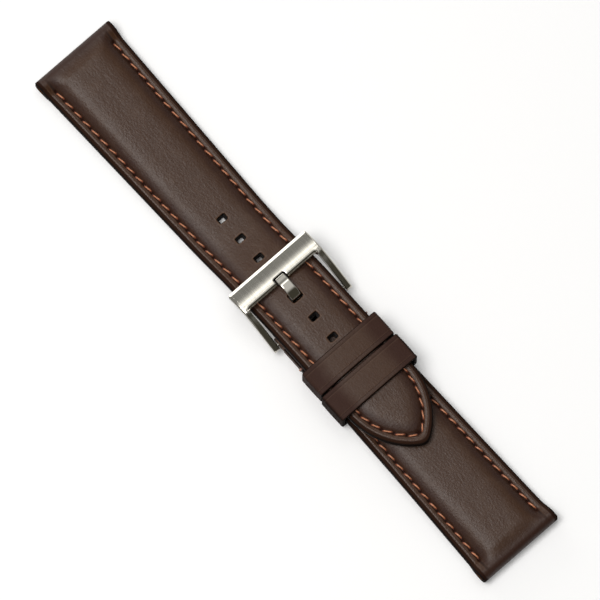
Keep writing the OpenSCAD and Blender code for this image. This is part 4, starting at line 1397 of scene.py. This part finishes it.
def thread_finish(name, colours):
    """Waxed two-ply thread: lit in the middle of each stitch, with painted shade on its flanks, dark red
    painted shade at its ends and near black where it dives in, with fine fibres.

    Place is the way along a stitch from -1 to 1, a number of its own, and the angle round it.
    """
    f = Finish(name, tuple(colours.thread), Specular_IOR_Level=0.5, Sheen_Weight=0.1)
    along, own, angle = f.place()
    from_middle = abs(along)
    fibres = (angle * 2 + along * 9).sine() * 0.5 + 0.5
    f.coat(shade(colours.thread, 0.6), fibres * 0.4 + own * 0.2)
    # Painted shade on the thread's flanks and at the stitch ends, near black where the thread dives into the
    # leather.
    side = abs(angle.cosine())
    f.coat(tuple(colours.thread_dark), from_middle.smooth(0.3, 0.7).most(side.smooth(0.25, 0.75)) * 0.95)
    deep = from_middle.smooth(0.62, 0.84).most(side.smooth(0.75, 1.0) * 0.8)
    f.coat(shade(colours.thread_dark, 0.1), deep)
    height = fibres * 0.7 + f.noise(9000, 3)
    return f.feed(Roughness=0.42 + fibres * 0.15, Normal=f.bump(height, 0.6, 0.00008))


def steel_finish(name, colours):
    """Satin steel brushed along X, polished where place says 1, and painted near black as shade in the notch,
    where its third value says -1.
    """
    f = Finish(name, tuple(colours.steel), Metallic=1.0)
    polish, _, arm = f.place()
    brushed = f.noise(1.0, 4, 0.7, f.stretched((100, 7000, 300)))
    broad = f.noise(1.0, 3, 0.6, f.stretched((50, 1500, 200)))
    satin = polish.beyond(0.3, 0.7)
    f.coat(shade(colours.steel, 0.75), brushed.smooth(0.35, 0.7) * satin * 0.7)
    # Painted shade: the tongue's notch is near black.
    f.coat(shade(colours.steel, 0.06), (0 - arm).smooth(0.1, 0.9))
    rough = 0.07 + satin * (0.04 + brushed * 0.08 + broad * 0.08)
    return f.feed(Roughness=rough, Normal=f.bump(broad * satin, 0.5, 0.00004))


def bar_steel(name, colours):
    """Plain drawn steel of the spring bar."""
    f = Finish(name, shade(colours.steel, 0.9), Metallic=1.0)
    drawn = f.noise(1.0, 3, 0.6, f.stretched((4000, 200, 4000)))
    f.coat(shade(colours.steel, 0.7), drawn)
    return f.feed(Roughness=0.2 + drawn * 0.2, Normal=f.bump(drawn, 0.2, 0.00002))


def shade_round_holes(f, colours):
    """Lays the edge paint's colour over the rims of the punched holes, as painted shade in the holes."""
    zone = f.place()[2]
    f.coat(tuple(colours.edge), (0 - zone).smooth(0.3, 0.6))


def felt_finish(name, colours):
    """Pressed felt of the padding: matted short fibres, with painted shade round the holes."""
    f = Finish(name, tone(178, 166, 146))
    fibres = f.noise(2500, 6, 0.7, None, 1.5)
    f.coat(tone(206, 196, 178), fibres.smooth(0.3, 0.7))
    shade_round_holes(f, colours)
    return f.feed(Roughness=0.9 + fibres * 0.05, Normal=f.bump(fibres, 0.8, 0.0002))


def tape_finish(name, colours):
    """Thin woven tape: crossing threads at 0.3 mm, with painted shade round the holes."""
    f = Finish(name, tone(196, 194, 186))
    x, y, _ = f.axes()
    weave = (x * 20000).sine() * (y * 20000).sine() * 0.5 + 0.5
    f.coat(tone(226, 224, 218), weave)
    shade_round_holes(f, colours)
    return f.feed(Roughness=0.85 + weave * 0.05, Normal=f.bump(weave, 0.6, 0.00008))


def floor_finish(name, colours):
    """Pale floor: lit, so that it keeps the shadow, with some plain white for the camera and in reflections.

    Under the strap itself, where it shows only through the punched holes, it is lit only.
    """
    f = Finish(name, shade(colours.floor, 0.99), Roughness=0.9, Specular_IOR_Level=0.1)
    x, y, _ = f.axes()
    beside = (abs(y) / MM).smooth(8.0, 9.0).most((abs(x) / MM).smooth(72.0, 74.0))
    f.coat(tuple(colours.floor), f.noise(3, 2))
    f.feed()
    rays = ("Is Camera Ray", "Is Glossy Ray", "Is Transmission Ray")
    path = f.node("ShaderNodeLightPath").outputs
    camera, glossy, through = (Wire(f, path[ray]) for ray in rays)
    white = f.node("ShaderNodeEmission", None, {"Color": (1.0, 1.0, 1.0, 1.0), "Strength": 1.0})
    return f.mixed(camera.most(glossy).most(through) * beside * 0.14, white)


def studio_world(world):
    """Soft surroundings: a pale canopy overhead, a pale horizon, and darker walls, darkest towards +X."""
    w = Nodes(world)
    x, y, z = w.split(w.node("ShaderNodeTexCoord").outputs["Generated"])
    canopy = x.smooth(-0.66, -0.5) * (1 - x.smooth(0.3, 0.5)) * (1 - abs(y).smooth(0.35, 0.62))
    gleam = x.band(-0.39, 0.17) * (1 - abs(y - 0.05).smooth(0.25, 0.5))
    east = x.smooth(0.34, 0.56)
    wall = w.blend((0.33, 0.33, 0.325), (0.075, 0.07, 0.055), east)
    above = w.blend(w.blend(wall, (0.86, 0.86, 0.86), canopy), (3.0, 3.0, 2.95), gleam)
    low = w.blend((0.8, 0.8, 0.79), (0.4, 0.4, 0.39), east.most(abs(y).smooth(0.4, 0.7)))
    sky = w.node("ShaderNodeBackground", None, {0: w.blend(above, low, 1 - z.smooth(0.04, 0.2))})
    w.node("ShaderNodeOutputWorld", None, {0: sky.outputs[0]})


def remake(name):
    """Removes a piece of this name that an earlier run has left."""
    old = bpy.data.objects.get(name)
    if old is not None:
        bpy.data.objects.remove(old, do_unlink=True)


def made(name, skin, body, material, slot, *nodes, sharp=35.0):
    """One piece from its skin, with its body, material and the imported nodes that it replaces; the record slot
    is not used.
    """
    remake(name)
    piece = skin.piece(name, sharp)
    piece.data.materials.append(material)
    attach(piece, body)
    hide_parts(*nodes)
    return piece


class DressOperator:
    """What all the operators share."""

    bl_options = {"REGISTER", "UNDO"}


CAMERA_AZIMUTH = 48.5
CAMERA_ELEVATION = 78.0
PIXELS_PER_MM = 4.485


class WATCHSTRAP_OT_stage(DressOperator, bpy.types.Operator):
    """Camera, soft boxes, pale world and floor"""

    bl_idname = "watchstrap.stage"
    bl_label = "Stage"

    def execute(self, context):
        self.camera(context)
        self.softbox(context, "key", (-0.14, -0.25, 0.76), 0.42, 0.38, 3.6, (1.0, 0.985, 0.97))
        self.softbox(context, "side", (-0.78, 0.1, 0.22), 0.6, 0.25, 1.2, (1.0, 1.0, 1.0))

        world = context.scene.world or bpy.data.worlds.new("pale")
        context.scene.world = world
        studio_world(world)

        remake("floor")
        mesh = bpy.data.meshes.new("floor")
        corners, radius, below = 96, 4, 0.02 * MM
        angles = np.linspace(0, 2 * math.pi, corners + 1)[:-1]
        points = [(radius * math.cos(a), radius * math.sin(a), -below) for a in angles]
        mesh.from_pydata(points, [], [list(range(corners))])
        floor = bpy.data.objects.new("floor", mesh)
        context.scene.collection.objects.link(floor)
        mesh.materials.append(floor_finish("pale_floor", context.scene.strap_colours))
        context.scene.view_settings.view_transform = "Standard"
        return {"FINISHED"}

    def camera(self, context):
        """A long lens from nearly overhead, turned so that the strap lies across the picture's diagonal.

        At the aim, one millimetre is as many pixels of the 600 as PIXELS_PER_MM says.
        """
        azimuth, elevation = math.radians(CAMERA_AZIMUTH), math.radians(CAMERA_ELEVATION)
        level = math.cos(elevation)
        back = np.array([math.sin(azimuth) * level, -math.cos(azimuth) * level, math.sin(elevation)])
        right = np.array([math.cos(azimuth), math.sin(azimuth), 0.0])
        up = np.cross(back, right)
        pixel = 1 / PIXELS_PER_MM * MM
        aim = np.array([-0.16, 0, 2]) * MM + right * 4.93 * pixel - up * 0.09 * pixel
        data = bpy.data.cameras.new("camera")
        data.lens = 800
        data.sensor_width = 36
        data.clip_start = 0.01
        camera = bpy.data.objects.new("camera", data)
        context.scene.collection.objects.link(camera)
        place = aim + back * (600 * pixel / data.sensor_width * data.lens)
        rows = np.column_stack([right, up, back, place]).tolist()
        camera.matrix_world = Matrix((*rows, (0, 0, 0, 1)))
        context.scene.camera = camera

    def softbox(self, context, name, place, width, depth, watts, tint):
        """A rectangular lamp that faces the strap."""
        data = bpy.data.lights.new(name, "AREA")
        data.shape = "RECTANGLE"
        data.size, data.size_y = width, depth
        data.energy = watts
        data.color = tint
        lamp = bpy.data.objects.new(name, data)
        context.scene.collection.objects.link(lamp)
        lamp.location = place
        lamp.rotation_euler = (-Vector(place)).to_track_quat("-Z", "Y").to_euler()


def dress_strap(context, long):
    """The four layers of one strap, each on its strap's body."""
    strap, colours = Strap(context.scene.strap_sizes, long), context.scene.strap_colours
    name, body, side = ("long_strap", "tail", "tail") if long else ("short_strap", "short_strap", "short")
    upper = upper_leather(f"{name}_upper_leather", colours, strap.pitch, strap.s["seam_in"])
    lining = lining_leather(f"{name}_lining_leather", colours)
    for part, shape, material, slot, nodes in (
        ("upper", upper_skin, upper, "upper_leather", [f"{side}_upper", f"{side}_bar_tunnel"]),
        ("lining", lining_skin, lining, "lining_leather", [f"{side}_lining"]),
        ("padding", padding_skin, felt_finish(f"{name}_felt", colours), "padding", [f"{side}_padding"]),
        ("tape", tape_skin, tape_finish(f"{name}_tape", colours), "tape", [f"{side}_tape"]),
    ):
        piece = made(f"{name}_{part}", shape(strap), body, material, slot, *nodes)
        part == "padding"


class WATCHSTRAP_OT_long_strap(DressOperator, bpy.types.Operator):
    """Upper, lining, felt and tape of the long strap, with its holes, nose and pointed tip"""

    bl_idname = "watchstrap.long_strap"
    bl_label = "Long strap"

    def execute(self, context):
        dress_strap(context, True)
        return {"FINISHED"}


class WATCHSTRAP_OT_short_strap(DressOperator, bpy.types.Operator):
    """Upper, lining, felt and tape of the short strap"""

    bl_idname = "watchstrap.short_strap"
    bl_label = "Short strap"

    def execute(self, context):
        dress_strap(context, False)
        return {"FINISHED"}


class WATCHSTRAP_OT_stitching(DressOperator, bpy.types.Operator):
    """Two-ply thread along both straps and the turns beside the fixed keeper"""

    bl_idname = "watchstrap.stitching"
    bl_label = "Stitching"

    def execute(self, context):
        sizes, colours = context.scene.strap_sizes, context.scene.strap_colours
        thread = thread_finish("waxed_thread", colours)
        long_strap, short_strap = Strap(sizes, True), Strap(sizes, False)
        anchors = anchor_skin(short_strap, fixed_box[0, 0])
        for name, skin, body, node in (
            ("long_strap_stitches", stitch_skin(long_strap), "tail", "tail_stitching"),
            ("short_strap_stitches", stitch_skin(short_strap), "short_strap", "short_stitching"),
            ("keeper_stitches", anchors, "short_strap", "keeper_anchor_stitches"),
        ):
            made(name, skin, body, thread, "thread", node, sharp=60)
        return {"FINISHED"}


class WATCHSTRAP_OT_buckle_loop(DressOperator, bpy.types.Operator):
    """Folded leather loop round the spring bar"""

    bl_idname = "watchstrap.buckle_loop"
    bl_label = "Buckle loop"

    def execute(self, context):
        strap = Strap(context.scene.strap_sizes, False)
        material = lining_leather("loop_leather", context.scene.strap_colours)
        skin = loop_skin(strap, strap.s["used_width"])
        made("bar_loop", skin, "short_strap", material, "lining_leather", "buckle_loop")
        return {"FINISHED"}


class WATCHSTRAP_OT_keepers(DressOperator, bpy.types.Operator):
    """Fixed and free keepers: leather rings with pressed lines"""

    bl_idname = "watchstrap.keepers"
    bl_label = "Keepers"

    def execute(self, context):
        sizes = context.scene.keeper_sizes
        material = keeper_leather("keeper_leather", context.scene.strap_colours, sizes.crease_in / MM)
        for name, box, body, node in (
            ("fixed_band", fixed_box, "short_strap", "fixed_keeper"),
            ("free_band", free_box, "free_keeper", "free_keeper"),
        ):
            made(name, keeper_skin(box, sizes), body, material, "keeper_leather", node)
        return {"FINISHED"}


class WATCHSTRAP_OT_buckle(DressOperator, bpy.types.Operator):
    """Buckle frame and tongue, satin with polished bevels"""

    bl_idname = "watchstrap.buckle"
    bl_label = "Buckle"

    def execute(self, context):
        shape = BuckleShape(context.scene.buckle_sizes, Strap(context.scene.strap_sizes, True))
        material = steel_finish("satin_and_polished_steel", context.scene.strap_colours)
        for name, skin, body, node in (
            ("pin_buckle_frame", frame_skin(shape), "buckle", "buckle_frame"),
            ("pin_buckle_tongue", tongue_skin(shape), "tongue", "tongue"),
        ):
            made(name, skin, body, material, "satin_steel", node)
        return {"FINISHED"}


class WATCHSTRAP_OT_spring_bar(DressOperator, bpy.types.Operator):
    """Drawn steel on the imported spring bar"""

    bl_idname = "watchstrap.spring_bar"
    bl_label = "Spring bar"

    def execute(self, context):
        material = bar_steel("drawn_steel", context.scene.strap_colours)
        for node in ("spring_bar_tube", "spring_bar_tip_left", "spring_bar_tip_right", "spring_bar_spring"):
            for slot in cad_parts[node].material_slots:
                slot.material = material
        return {"FINISHED"}


class WATCHSTRAP_PT_panel(bpy.types.Panel):
    """Lists the pieces and their sizes"""

    bl_label = "Watch Strap"
    bl_idname = "WATCHSTRAP_PT_panel"
    bl_space_type = "VIEW_3D"
    bl_region_type = "UI"
    bl_category = "Watch Strap"

    def draw(self, context):
        for operator in OPERATORS:
            self.layout.operator(operator.bl_idname)
        for group in ("strap_sizes", "keeper_sizes", "buckle_sizes", "strap_colours"):
            box = self.layout.box()
            settings = getattr(context.scene, group)
            for name in type(settings).__annotations__:
                box.prop(settings, name)


GROUPS = {
    "strap_sizes": StrapSizes, "keeper_sizes": KeeperSizes, "buckle_sizes": BuckleSizes,
    "strap_colours": FinishColours,
}
OPERATORS = (
    WATCHSTRAP_OT_stage, WATCHSTRAP_OT_long_strap, WATCHSTRAP_OT_short_strap, WATCHSTRAP_OT_stitching,
    WATCHSTRAP_OT_buckle_loop, WATCHSTRAP_OT_keepers, WATCHSTRAP_OT_buckle, WATCHSTRAP_OT_spring_bar,
)


def register():
    for cls in (*GROUPS.values(), *OPERATORS, WATCHSTRAP_PT_panel):
        bpy.utils.register_class(cls)
    for name, group in GROUPS.items():
        setattr(bpy.types.Scene, name, bpy.props.PointerProperty(type=group))


def unregister():
    for name in GROUPS:
        delattr(bpy.types.Scene, name)
    for cls in (WATCHSTRAP_PT_panel, *reversed(OPERATORS), *reversed(tuple(GROUPS.values()))):
        bpy.utils.unregister_class(cls)


def main():
    register()
    for operator in OPERATORS:
        group, name = operator.bl_idname.split(".")
        getattr(getattr(bpy.ops, group), name)()


if __name__ == "__main__":
    main()
